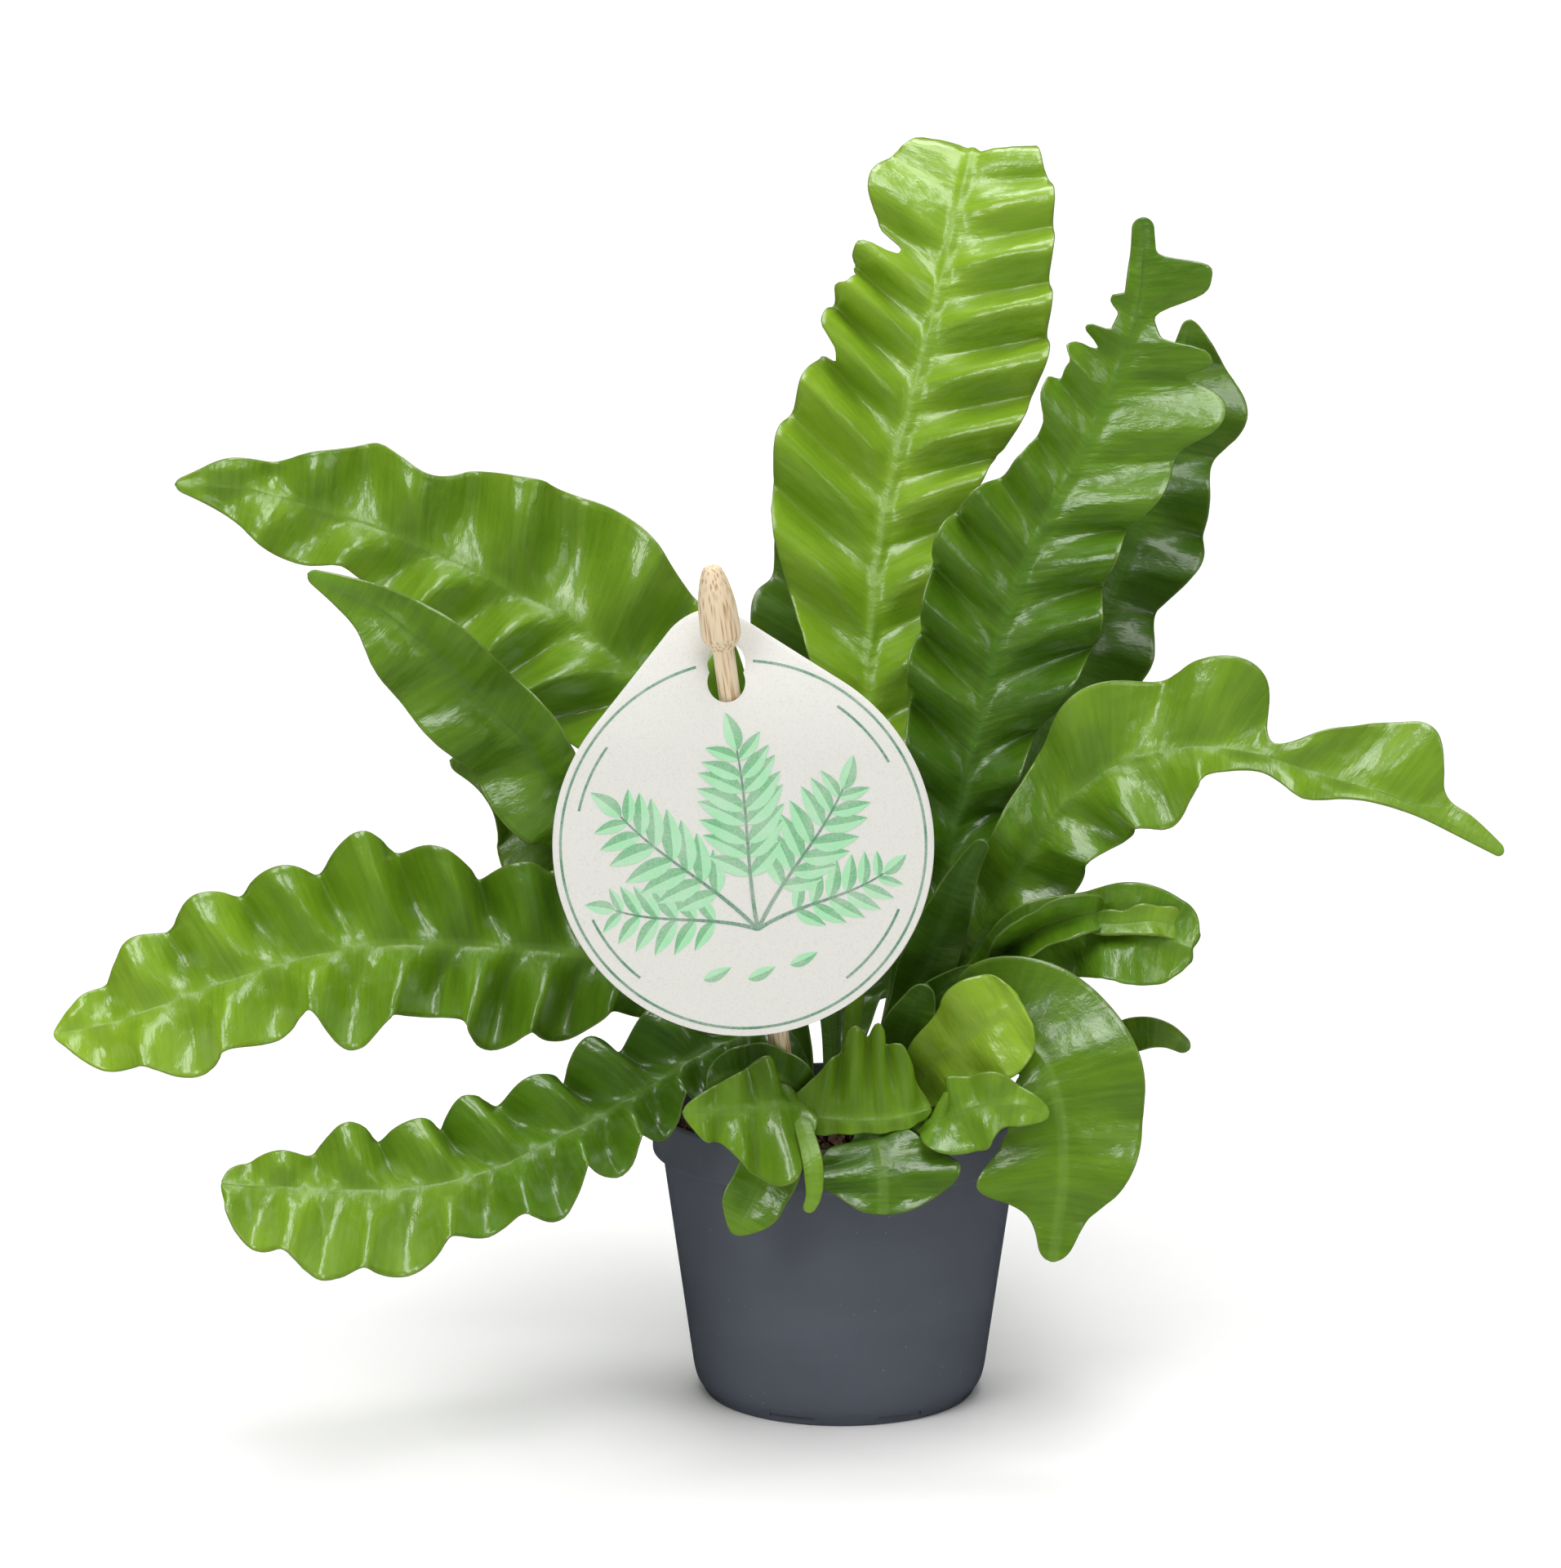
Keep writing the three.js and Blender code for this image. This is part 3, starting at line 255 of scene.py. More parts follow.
# Fronds, one entry for each leaf or branch of a leaf. path: midrib from root to tip. face: which
# way the upper face looks. left, right, width: blade widths at even steps, of one side or both.
# crestsLeft, crestsRight, crests: where the ruffles stand, on one side or both. ruffle: their
# height, root to tip. sweep: how far the margin leans to the tip. scallop: swelling of the margin
# at a crest. cup: rise of each half in degrees. ribHeight: the raised rib, where it isn't 0.4.
# tone: root to tip, 0 deep and 1 bright. lobes: side, place, half length and height.
# folded: how strongly the waves run in towards the rib. branchOf: a lobe of that same leaf.
fronds = [
    {"name": "tall", "leaf": "leaf_bright", "tone": [.2, .45, .6, .7, .75, .8],
     "ribHeight": 1.3, "folded": 1.4,
     "path": [[2, 9, 88], [6, 12, 140], [9, 18, 183], [10, 30, 236], [15, 44, 278], [24, 54, 314],
         [34, 66, 354], [42, 80, 388], [45, 91, 395], [46, 102, 390]],
     "face": [[0, -1, 0], [0, -1, 0], [0, -1, .1], [0, -.8, .6], [0, -.2, 1]],
     "left": [2.5, 2.5, 2.5, 3, 4, 7, 10, 14, 20, 30, 37, 39, 37, 34, 34, 31, 23, 29, 27, 19, 8],
     "right": [2.5, 2.5, 2.5, 3, 4, 6, 9, 13, 16, 19, 22, 26, 31, 37, 40, 38, 35, 33, 29, 20, 8],
     "crestsLeft": [.3, .4, .48, .555, .615, .68, .735, .785, .86, .96],
     "crestsRight": [.33, .41, .5, .58, .64, .7, .76, .82, .88, .94],
     "ruffle": [5, 5, 5, 6, 1], "sweep": [.6, .45], "scallop": [.02, .02], "cup": [14, 14],
     "lobes": [[0, .803, .011, -8], [0, .777, .013, 3.5], [0, .742, .011, -4], [0, .665, .01, -6]]},
    {"name": "crested", "leaf": "leaf_deep", "tone": [.2, .35, .5, .65, .8, .6],
     "ribHeight": .8, "folded": .6,
     "path": [[11, 3, 88], [22, 0, 120], [31, -1, 155], [40, 0, 198], [49, 2, 238], [59, 4, 268],
         [72, 6, 294], [84, 8, 319], [92, 8, 343], [94, 8, 361], [94, 8, 374]],
     "face": [[0, -1, 0], [-.1, -1, .1], [0, -1, .1]],
     "left": [2.5, 2.5, 2.5, 3, 5, 9, 14, 19, 24, 26, 26, 29, 27, 20, 16, 15, 16, 8, 5, 4, 3],
     "right": [2.5, 2.5, 2.5, 3, 5, 8, 12, 15, 18, 26, 31, 27, 26, 25, 28, 28, 30, 14, 5, 4, 3],
     "crestsLeft": [.22, .3, .37, .44, .505, .565, .62, .68, .75, .81, .87],
     "crestsRight": [.2, .29, .37, .45, .53, .61, .69, .78, .86],
     "ruffle": [6, 7, 7, 6, 3, 1], "sweep": [.55, .6], "scallop": [.02, .02], "cup": [16, 12],
     "lobes": [[0, .825, .012, 5], [0, .858, .009, 7], [0, .76, .018, 5], [0, .905, .009, 4],
         [1, .93, .024, 17], [1, .853, .014, 12], [1, .79, .03, 4]]},
    {"name": "back_right", "leaf": "leaf_olive", "tone": [.3, .35, .4, .4, .6], "folded": .2,
     "path": [[17, 13, 88], [36, 24, 130], [54, 30, 181], [70, 42, 214], [85, 50, 243], [97, 56, 272],
         [105, 60, 298], [111, 62, 322], [115, 62, 340]],
     "face": [[0, -1, 0], [0, -1, 0]],
     "left": [2.5, 2.5, 5, 10, 18, 24, 28, 30, 30, 30, 28, 26, 22, 14, 8, 5, 2],
     "right": [2.5, 2.5, 4, 8, 12, 15, 17, 18, 19, 21, 18, 19, 24, 17, 23, 19, 2],
     "crestsLeft": [.2, .33, .45, .56, .67, .78, .9],
     "crestsRight": [.2, .33, .42, .5, .6, .71, .8, .9],
     "ruffle": [6, 6, 7, 6, 4], "sweep": [.3, .15], "scallop": [.03, .06], "cup": [10, 10]},
    {"name": "upper_left", "leaf": "leaf_green", "tone": [.3, .5, .65, .75, .7],
     "ribHeight": .5, "folded": 2.3,
     "path": [[-9, 5, 88], [-15, 5, 122], [-25, 7, 156], [-40, 10, 191], [-62, 13, 224], [-73, 15, 237],
         [-86, 17, 248], [-100, 20, 254], [-123, 22, 265], [-146, 24, 275], [-173, 24, 284],
         [-192, 22, 289], [-211, 20, 290]],
     "face": [[0, -1, .2], [0, -1, .3], [0, -1, .2]],
     "left": [2.5, 2.5, 2.5, 4, 6, 10, 16, 22, 26, 29, 34, 33, 26, 22, 20, 18, 16, 18, 16, 8, 1.5],
     "right": [2.5, 2.5, 2.5, 4, 8, 14, 20, 26, 30, 32, 32, 35, 37, 32, 30, 21, 26, 18, 11, 8, 1.5],
     "crestsLeft": [.2, .33, .42, .52, .61, .7, .8, .9],
     "crestsRight": [.34, .43, .53, .64, .76, .86, .95],
     "ruffle": [5, 6, 7, 7, 5, 3], "sweep": [.35, .35], "scallop": [-.02, .02], "cup": [8, 14]},
    {"name": "curled", "leaf": "leaf_deep", "tone": [.45, .6, .7, .9], "folded": 1.5,
     "path": [[-17, -4, 88], [-24, -5, 130], [-74, -12, 186], [-89, -18, 200], [-99, -23, 214],
         [-110, -26, 226], [-120, -31, 237], [-130, -34, 247], [-140, -37, 256], [-152, -40, 263],
         [-162, -42, 268]],
     "face": [[0, -1, 0], [0, -1, .2], [0, -1, .2]],
     "left": [2.5, 2.5, 3, 6, 9, 13, 17, 20, 18, 19, 16, 8, 1.5],
     "right": [2.5, 2.5, 3, 4, 5, 6, 7, 11, 14, 13, 11, 6, 1.5],
     "crestsLeft": [.2, .38, .54, .7, .86],
     "crestsRight": [.2, .4, .6, .8, .95],
     "ruffle": [3, 4, 4, 2], "sweep": [.3, .3], "scallop": [.04, .04], "cup": [10, 30]},
    {"name": "short_left", "leaf": "leaf_olive", "tone": [.4, .6, .7],
     "path": [[-23, 6, 88], [-37, 3, 122], [-55, -1, 154], [-74, -4, 178], [-91, -7, 192],
         [-108, -9, 201], [-122, -11, 206]],
     "face": [[0, -1, 0], [0, -1, .2]],
     "left": [2.5, 3, 8, 16, 24, 27, 29, 28, 22, 8, 2],
     "right": [2.5, 3, 5, 8, 10, 11, 10, 8, 5, 3, 2],
     "crests": [.3, .5, .7, .9],
     "ruffle": [4, 4], "sweep": [.3, .3], "scallop": [.04, .04], "cup": [8, 14]},
    {"name": "long_left", "leaf": "leaf_bright", "tone": [-.1, 0, .25, .6, .9],
     "ribHeight": .12, "folded": 2,
     "path": [[-11, -13, 88], [-13, -16, 115], [-25, -20, 136], [-43, -26, 144], [-85, -36, 150],
         [-126, -44, 154], [-154, -48, 153], [-185, -50, 145], [-221, -50, 132], [-242, -50, 127]],
     "face": [[-.3, -.8, .5], [0, -1, .35], [0, -.9, .5], [0, -.8, .6]],
     "left": [2.5, 2.5, 3, 6, 10, 14, 17, 19, 26, 29, 30, 21, 26, 30, 20, 21, 25, 24, 20, 13, 2],
     "right": [2.5, 2.5, 4, 8, 13, 19, 24, 27, 27, 24, 23, 29, 32, 27, 26, 27, 24, 23, 17, 12, 2],
     "crestsLeft": [.25, .36, .44, .51, .6, .7, .8, .9],
     "crestsRight": [.26, .36, .45, .53, .61, .69, .78, .88],
     "ruffle": [6, 7, 7, 6, 3], "sweep": [.2, .35], "scallop": [-.04, .04], "cup": [6, 14]},
    {"name": "low_left", "leaf": "leaf_green", "tone": [-.1, .1, .4, .7, .8],
     "ribHeight": .1, "folded": 1.8,
     "path": [[-5, -20, 88], [-14, -24, 112], [-25, -33, 124], [-43, -45, 120], [-65, -58, 109],
         [-85, -68, 100], [-107, -76, 91], [-131, -82, 87], [-155, -86, 88], [-186, -88, 90]],
     "face": [[-.2, -.6, .8], [0, -.7, .7], [0, -.8, .6]],
     "left": [2.5, 2.5, 3, 5, 7, 10, 12, 14, 15, 19, 18, 20, 24, 18, 23, 26, 30, 27, 23, 18, 8],
     "right": [2.5, 2.5, 3, 6, 10, 14, 17, 19, 20, 19, 17, 22, 21, 21, 18, 19, 19, 15, 10, 9, 6],
     "crestsLeft": [.2, .28, .36, .44, .52, .61, .7, .8, .9],
     "crestsRight": [.2, .3, .4, .5, .6, .7, .82, .92],
     "ruffle": [4, 6, 7, 6, 3], "sweep": [.2, .35], "scallop": [-.04, .04], "cup": [6, 10]},
    {"name": "right", "leaf": "leaf_green", "tone": [.2, .4, .7, .75, .8],
     "ribHeight": .5, "folded": 1.1,
     "path": [[19, -3, 88], [26, -4, 115], [38, -8, 140], [53, -14, 167], [69, -19, 193], [86, -24, 207],
         [106, -29, 213], [125, -32, 212], [145, -34, 206], [168, -36, 199], [188, -38, 190],
         [203, -40, 182]],
     "face": [[0, -1, .3], [0, -.9, .4], [0, -.9, .4]],
     "left": [2.5, 2.5, 3, 4, 6, 9, 12, 12, 14, 18, 23, 22, 25, 23, 5, 14, 23, 23, 9, 5, 1.5],
     "right": [2.5, 2.5, 3, 4, 6, 10, 14, 18, 18, 21, 23, 24, 17, 8, 5, 10, 5, 3, 2, 2, 1.5],
     "crestsLeft": [.22, .36, .5, .62, .74, .86],
     "crestsRight": [.2, .3, .4, .5, .62, .74, .86],
     "ruffle": [4, 6, 6, 4, 2], "sweep": [.5, .2], "scallop": [.03, -.03], "cup": [10, 10]},
    {"name": "drooping", "leaf": "leaf_bright", "tone": [.1, .2, .3, .4], "folded": .4,
     "path": [[15, -17, 88], [24, -25, 105], [36, -35, 118], [49, -46, 126], [60, -56, 122],
         [66, -62, 106], [67, -66, 85], [64, -67, 60]],
     "face": [[0, -.5, .8], [0, -1, .3], [.1, -1, .1], [.1, -1, .1]],
     "left": [2.5, 3, 4, 10, 20, 25, 27, 27, 25, 18, 9, 3],
     "right": [2.5, 3, 4, 6, 7, 8, 10, 15, 20, 25, 9, 3],
     "crests": [.2, .4, .6, .8],
     "ruffle": [3, 3], "sweep": [.1, .2], "scallop": [.02, .04], "cup": [-4, -8]},
    {"name": "rolled", "leaf": "leaf_green", "tone": [.2, .4, .6],
     "path": [[24, -9, 88], [29, -11, 110], [37, -16, 129], [50, -24, 143], [66, -29, 152],
         [84, -33, 156], [100, -37, 154], [108, -39, 152]],
     "face": [[0, -.8, .5], [0, -1, .3]],
     "left": [2.5, 2.5, 3, 6, 10, 13, 14, 14, 12],
     "right": [2.5, 2.5, 3, 8, 13, 13, 15, 16, 11],
     "crestsLeft": [.3, .58, .86],
     "crestsRight": [.28, .5, .8],
     "ruffle": [3.5, 3.5], "sweep": [.2, .2], "scallop": [.05, .05], "cup": [10, 18]},
    {"name": "rolled_tube", "branchOf": "rolled", "leaf": "leaf_green", "tone": [.3, .5, .6],
     "folded": 0,
     "path": [[49, -23, 144], [56, -32, 153], [65, -36, 159], [75, -37, 162], [82, -31, 161]],
     "face": [[0, -1, .2], [0, -1, .2]],
     "left": [4, 9, 11, 12, 11, 7, 3],
     "right": [2.5, 4.5, 9, 10, 9, 6, 3],
     "crests": [.3, .7],
     "ruffle": [1, 1], "sweep": [.1, .1], "scallop": [.05, .05], "cup": [62, 58]},
    {"name": "rolled_tuft", "branchOf": "rolled", "leaf": "leaf_green", "tone": [.6, .8, .9],
     "folded": 0,
     "path": [[75, -34, 159], [85, -37, 159], [96, -38, 160], [106, -34, 157]],
     "face": [[0, -1, .3], [0, -1, .3]],
     "left": [2.5, 4, 4, 5, 5, 5, 3],
     "right": [2.5, 3.5, 3, 4, 4, 4, 3],
     "crestsLeft": [.2, .5, .8],
     "crestsRight": [.3, .6, .9],
     "ruffle": [2, 2], "sweep": [.3, .3], "scallop": [.05, .05], "cup": [20, 20]},
    {"name": "small_right", "leaf": "leaf_olive", "tone": [.5, .6, .7],
     "path": [[26, 2, 88], [34, 1, 104], [81, -4, 111], [93, -10, 118], [102, -14, 119], [110, -16, 115]],
     "face": [[0, -1, .4], [0, -1, .4]],
     "width": [2.5, 3, 4, 5, 6, 5, 2],
     "crests": [.3, .6, .9],
     "ruffle": [1, 1], "sweep": [.2, .2], "scallop": [.03, .03], "cup": [10, 10]},
    {"name": "front_fan", "leaf": "leaf_bright", "tone": [.4, .8, .95], "folded": .5,
     "path": [[8, -20, 88], [22, -40, 107], [30, -51, 120], [41, -58, 131], [53, -62, 140]],
     "face": [[0, -.2, 1], [0, -1, .6], [0, -1, .4], [0, -1, .3]],
     "left": [2.5, 2.5, 4, 7, 9, 12, 14, 11],
     "right": [2.5, 2.5, 4, 9, 13, 16, 18, 14],
     "crests": [.3, .55, .8],
     "ruffle": [2, 2], "sweep": [.1, .1], "scallop": [.03, .03], "cup": [6, 6]},
    {"name": "front_right", "leaf": "leaf_green", "tone": [.3, .6, .8],
     "path": [[15, -22, 88], [20, -42, 97], [25, -56, 101], [33, -67, 106], [43, -71, 110],
         [53, -72, 110], [62, -72, 107]],
     "face": [[0, -.2, 1], [0, -.4, 1], [0, -.7, .7], [0, -1, .2], [0, -1, .2]],
     "left": [2.5, 2.5, 2.5, 2.5, 3, 8, 10, 10, 9, 5, 2],
     "right": [2.5, 2.5, 2.5, 2.5, 2.5, 6, 12, 13, 8, 6, 2],
     "crestsLeft": [.5, .65, .8, .95],
     "crestsRight": [.55, .75, .95],
     "ruffle": [2.5, 2.5], "sweep": [.1, .1], "scallop": [.06, .08], "cup": [5, 0]},
    {"name": "front_band", "branchOf": "front_left", "leaf": "leaf_bright", "tone": [.4, .5, .6],
     "path": [[-15, -61, 105], [-11, -61, 104.3], [-4, -61, 103.3], [5, -62, 103], [14, -62, 103.3],
         [21, -60, 104.3], [27, -57, 105.5]],
     "face": [[0, -1, .1], [0, -1, 0]],
     "left": [6, 12, 18, 24, 27, 28, 27, 24, 17, 5],
     "right": [3, 5, 5, 4.5, 4, 4, 4, 4, 3, 2],
     "crestsLeft": [.18, .42, .64, .86],
     "crestsRight": [.2, .4, .6, .8],
     "ruffle": [2.6, 3, 2.6, 2.2], "sweep": [0, .1], "scallop": [.1, .02], "cup": [0, 0]},
    {"name": "front_lower", "leaf": "leaf_bright", "tone": [0, .05, .1],
     "ribHeight": .3, "folded": .3,
     "path": [[5, -27, 88], [6, -44, 96], [9, -58, 98], [11, -67, 95], [12, -73, 87], [12, -75, 77]],
     "face": [[0, -.2, 1], [0, -.3, 1], [0, -.9, .5], [0, -1, .1]],
     "left": [2.5, 2.5, 2.5, 2.5, 3, 5, 10, 18, 23, 18, 8],
     "right": [2.5, 2.5, 2.5, 2.5, 3, 7, 15, 21, 21, 16, 8],
     "crests": [.2, .4, .6, .8],
     "ruffle": [2, 2], "sweep": [0, 0], "scallop": [.03, .03], "cup": [-6, -6]},
    {"name": "front_left", "leaf": "leaf_bright", "tone": [.1, .3, .5],
     "path": [[-11, -23, 88], [-8, -43, 99], [-10, -58, 106], [-18, -67, 109], [-29, -72, 109],
         [-39, -75, 109], [-48, -77, 109]],
     "face": [[0, -.2, 1], [0, -.3, 1], [0, -.6, .8], [0, -1, .2], [0, -1, .1]],
     "left": [2.5, 2.5, 2.5, 2.5, 2.5, 2.5, 4, 18, 24, 20, 11, 9, 3],
     "right": [2.5, 2.5, 2.5, 2.5, 2.5, 3, 6, 11, 14, 12, 9, 6, 2],
     "crests": [.5, .65, .8, .95],
     "ruffle": [1, 1, 3, 3], "sweep": [.1, .1], "scallop": [.05, .05], "cup": [0, 5]},
    # this lobe is darker than the rest of its leaf, at the deep end of the tone: painted shade, where it
    # lies in the shadow under the card and the front lobes
    {"name": "front_shade", "branchOf": "front_left", "leaf": "leaf_bright", "tone": [0, 0, .1],
     "path": [[-9, -56, 105], [-13, -56, 110], [-19, -57, 114], [-27, -58, 116], [-35, -59, 116],
         [-41, -61, 113]],
     "face": [[0, -1, .1], [0, -1, .1]],
     "left": [4, 8, 11, 12, 11, 8, 3],
     "right": [3, 7, 9, 10, 9, 6, 2],
     "crests": [.25, .5, .75],
     "ruffle": [2, 2], "sweep": [.2, .2], "scallop": [.05, .05], "cup": [0, 6]},
    {"name": "front_cup", "leaf": "leaf_green", "tone": [.3, .5, .6],
     "path": [[-19, -18, 88], [-24, -38, 99], [-24, -53, 101], [-21, -62, 95], [-24, -64, 86],
         [-29, -66, 76], [-33, -68, 69]],
     "face": [[0, -.3, 1], [0, -.5, .9], [0, -1, .4], [0, -1, 0]],
     "left": [2.5, 2.5, 2.5, 2.5, 2.5, 4, 8, 11, 10, 8, 3],
     "right": [2.5, 2.5, 2.5, 2.5, 3, 6, 8, 9, 9, 8, 3],
     "crests": [.3, .6, .9],
     "ruffle": [1.5, 1.5], "sweep": [.1, .1], "scallop": [.04, .04], "cup": [25, 25]},
    {"name": "front_finger", "branchOf": "front_left", "leaf": "leaf_bright", "tone": [.3, .4, .5],
     "path": [[-13, -62, 106], [-12, -70, 103], [-10, -76, 97], [-9, -79, 91], [-9, -80, 84],
         [-11, -80, 79]],
     "face": [[0, -.5, .9], [0, -1, .3], [0, -1, 0]],
     "width": [2, 2.4, 2.6, 2.8, 2.7, 2.2, 1.5],
     "crests": [.3, .6, .9],
     "ruffle": [0, 0], "sweep": [.1, .1], "scallop": [0, 0], "cup": [0, 0]},
    {"name": "inner_tall", "leaf": "leaf_deep", "tone": [.2, .4],
     "path": [[5, -4, 88], [21, -12, 128], [30, -21, 151], [37, -28, 171], [44, -31, 184]],
     "face": [[0, -1, .1], [0, -1, .1]],
     "width": [2.5, 3, 5, 8, 8, 5, 2],
     "crests": [.3, .55, .8],
     "ruffle": [2, 2], "sweep": [.4, .4], "scallop": [.05, .05], "cup": [15, 15]},
    {"name": "inner_low", "leaf": "leaf_deep", "tone": [.1, .3],
     "path": [[7, -12, 88], [19, -20, 119], [28, -25, 132], [37, -28, 140], [43, -30, 143]],
     "face": [[0, -1, .3], [0, -1, .3]],
     "left": [2.5, 3, 5, 7, 6, 4, 2],
     "right": [2.5, 3, 5, 6, 6, 4, 2],
     "crests": [.3, .55, .8],
     "ruffle": [1.5, 1.5], "sweep": [.4, .4], "scallop": [.05, .05], "cup": [8, 8]},
    {"name": "inner_oval", "leaf": "leaf_deep", "tone": [.3, .5],
     "path": [[-1, -14, 88], [3, -21, 103], [16, -30, 114], [21, -37, 127], [26, -39, 140]],
     "face": [[0, -1, .3], [0, -1, .3]],
     "left": [2.5, 3, 6, 8, 7, 3],
     "right": [2.5, 3, 6, 7, 7, 3],
     "crests": [.3, .55, .8],
     "ruffle": [1, 1], "sweep": [.2, .2], "scallop": [.05, .05], "cup": [8, 8]},
    {"name": "back_tall", "leaf": "leaf_olive", "tone": [.3, .5, .7],
     "path": [[-2, 19, 88], [-3, 38, 150], [0, 64, 212], [8, 92, 262], [16, 116, 300], [24, 134, 324]],
     "face": [[0, -1, .2], [0, -1, .5], [0, -.8, .8]],
     "left": [2.5, 3, 8, 20, 28, 31, 30, 26, 18, 10, 2],
     "right": [2.5, 3, 6, 14, 22, 28, 30, 26, 18, 10, 2],
     "crests": [.2, .32, .44, .56, .68, .8, .92],
     "ruffle": [5, 5], "sweep": [.4, .4], "scallop": [.05, .05], "cup": [10, 10]},
    {"name": "back_side", "leaf": "leaf_deep", "tone": [.3, .5, .6],
     "path": [[10, 21, 88], [26, 44, 140], [42, 72, 190], [60, 98, 232], [80, 118, 262], [98, 130, 280]],
     "face": [[0, -1, .2], [0, -1, .5], [0, -.8, .8]],
     "left": [2.5, 3, 6, 14, 20, 24, 24, 22, 14, 8, 2],
     "right": [2.5, 3, 6, 12, 18, 20, 20, 18, 12, 6, 2],
     "crests": [.2, .32, .44, .56, .68, .8, .92],
     "ruffle": [5, 5], "sweep": [.4, .4], "scallop": [.05, .05], "cup": [10, 10]},
    {"name": "back_left", "leaf": "leaf_olive", "tone": [.3, .5, .7],
     "path": [[-13, 14, 88], [-28, 34, 136], [-48, 56, 178], [-70, 78, 206], [-94, 98, 222],
         [-116, 114, 226]],
     "face": [[0, -1, .3], [0, -1, .6], [0, -.7, .8]],
     "left": [2.5, 3, 6, 14, 20, 22, 22, 18, 12, 6, 2],
     "right": [2.5, 3, 6, 14, 20, 22, 24, 20, 14, 8, 2],
     "crests": [.2, .32, .44, .56, .68, .8, .92],
     "ruffle": [5, 5], "sweep": [.3, .3], "scallop": [.05, .05], "cup": [10, 10]},
    {"name": "back_low", "leaf": "leaf_green", "tone": [.3, .5, .6],
     "path": [[2, 26, 88], [6, 56, 112], [12, 92, 126], [18, 128, 128], [22, 162, 118], [24, 184, 104]],
     "face": [[0, .2, 1], [0, .2, 1]],
     "width": [2.5, 3, 8, 16, 22, 25, 24, 20, 14, 8, 2],
     "crests": [.2, .32, .44, .56, .68, .8, .92],
     "ruffle": [5, 5], "sweep": [.4, .4], "scallop": [.05, .05], "cup": [10, 10]},
]

# Sheets of the blades, lengths in millimetres
bladeDetail = {"stepLength": 1.15, "leastRows": 24, "tipRows": 16, "halfColumns": 22,
               "columnBias": 1.3, "leastWidth": 0.8, "tipRound": 7.0, "tipLeft": 0.03,
               "stalkThickness": 3.4, "stalkWidth": 3, "stalkFade": 9, "stalkRound": 0.55,
               "ribThicknessTip": 1.6, "ribHalf": 1.6, "ribFade": 3.2, "bladeThickness": 0.7,
               "edgeRound": 0.32, "waveStart": 0.08, "waveRise": 0.15, "wideBlade": 12,
               "midWave": 0.36, "pleat": 0.15, "ripple": 0.06, "rippleRate": 2.37,
               "edgeSway": 0.25, "seedStep": 7.3}
bladeRelief = {"Fold Spacing": 5.2 * mm, "Fold Height": 0.34 * mm, "Pucker Size": 3.4 * mm,
               "Pucker Height": 0.2 * mm, "Rib Width": 1.7 * mm, "Groove Depth": 0.55 * mm}


def lerp(a, b, t):
    # straight from a to b
    return a + (b - a) * t


def smooth(x):
    # eased step from 0 to 1
    t = np.clip(x, 0, 1)
    return t * t * (3 - 2 * t)


def through(points, t):
    # Catmull-Rom through evenly spaced points, t from 0 to 1
    p = np.asarray(points, float)
    p = p[:, None] if p.ndim == 1 else p
    n = len(p) - 1
    p = np.vstack([2 * p[0] - p[1], p, 2 * p[-1] - p[-2]])
    s = np.clip(t * n, 0, n - 1e-9)
    i = np.floor(s).astype(int)
    r = (s - i)[:, None]
    a, b, c, d = p[i], p[i + 1], p[i + 2], p[i + 3]
    t0, t1 = (c - a) / 2, (d - b) / 2
    return b + t0 * r + (-3 * b + 3 * c - 2 * t0 - t1) * r ** 2 + (2 * b - 2 * c + t0 + t1) * r ** 3


def keyed(keys, u):
    # evenly spaced keys read at u, with straight runs between them
    k = np.asarray(keys, float)
    k = k[:, None] if k.ndim == 1 else k
    s = np.linspace(0, 1, len(k))
    return np.stack([np.interp(u, s, k[:, j]) for j in range(k.shape[1])], 1)


def unit(v):
    return v / np.maximum(np.linalg.norm(v, axis=-1, keepdims=True), 1e-12)


def midrib(path, u):
    # points at arc length u, directions and the whole length
    t = np.linspace(0, 1, 801)
    line = through(path, t)
    gone = np.r_[0, np.cumsum(np.linalg.norm(np.diff(line, axis=0), axis=1))]
    at = lambda x: through(path, np.interp(np.clip(x, 0, 1) * gone[-1], gone, t))
    return at(u), unit(at(u + 0.004) - at(u - 0.004)), gone[-1]


def phaseAt(crests, u):
    # a quarter turn at each crest, the end spacings carried on
    c = np.asarray(crests, float)
    first, last = c[1] - c[0], c[-1] - c[-2]
    before, after = math.ceil(c[0] / first), math.ceil((1 - c[-1]) / last)
    marks = np.r_[[c[0] - first * k for k in range(before, 0, -1)], c,
                  [c[-1] + last * k for k in range(1, after + 1)]]
    return 2 * np.pi * np.interp(u, marks, np.arange(len(marks)) - before) + np.pi / 2


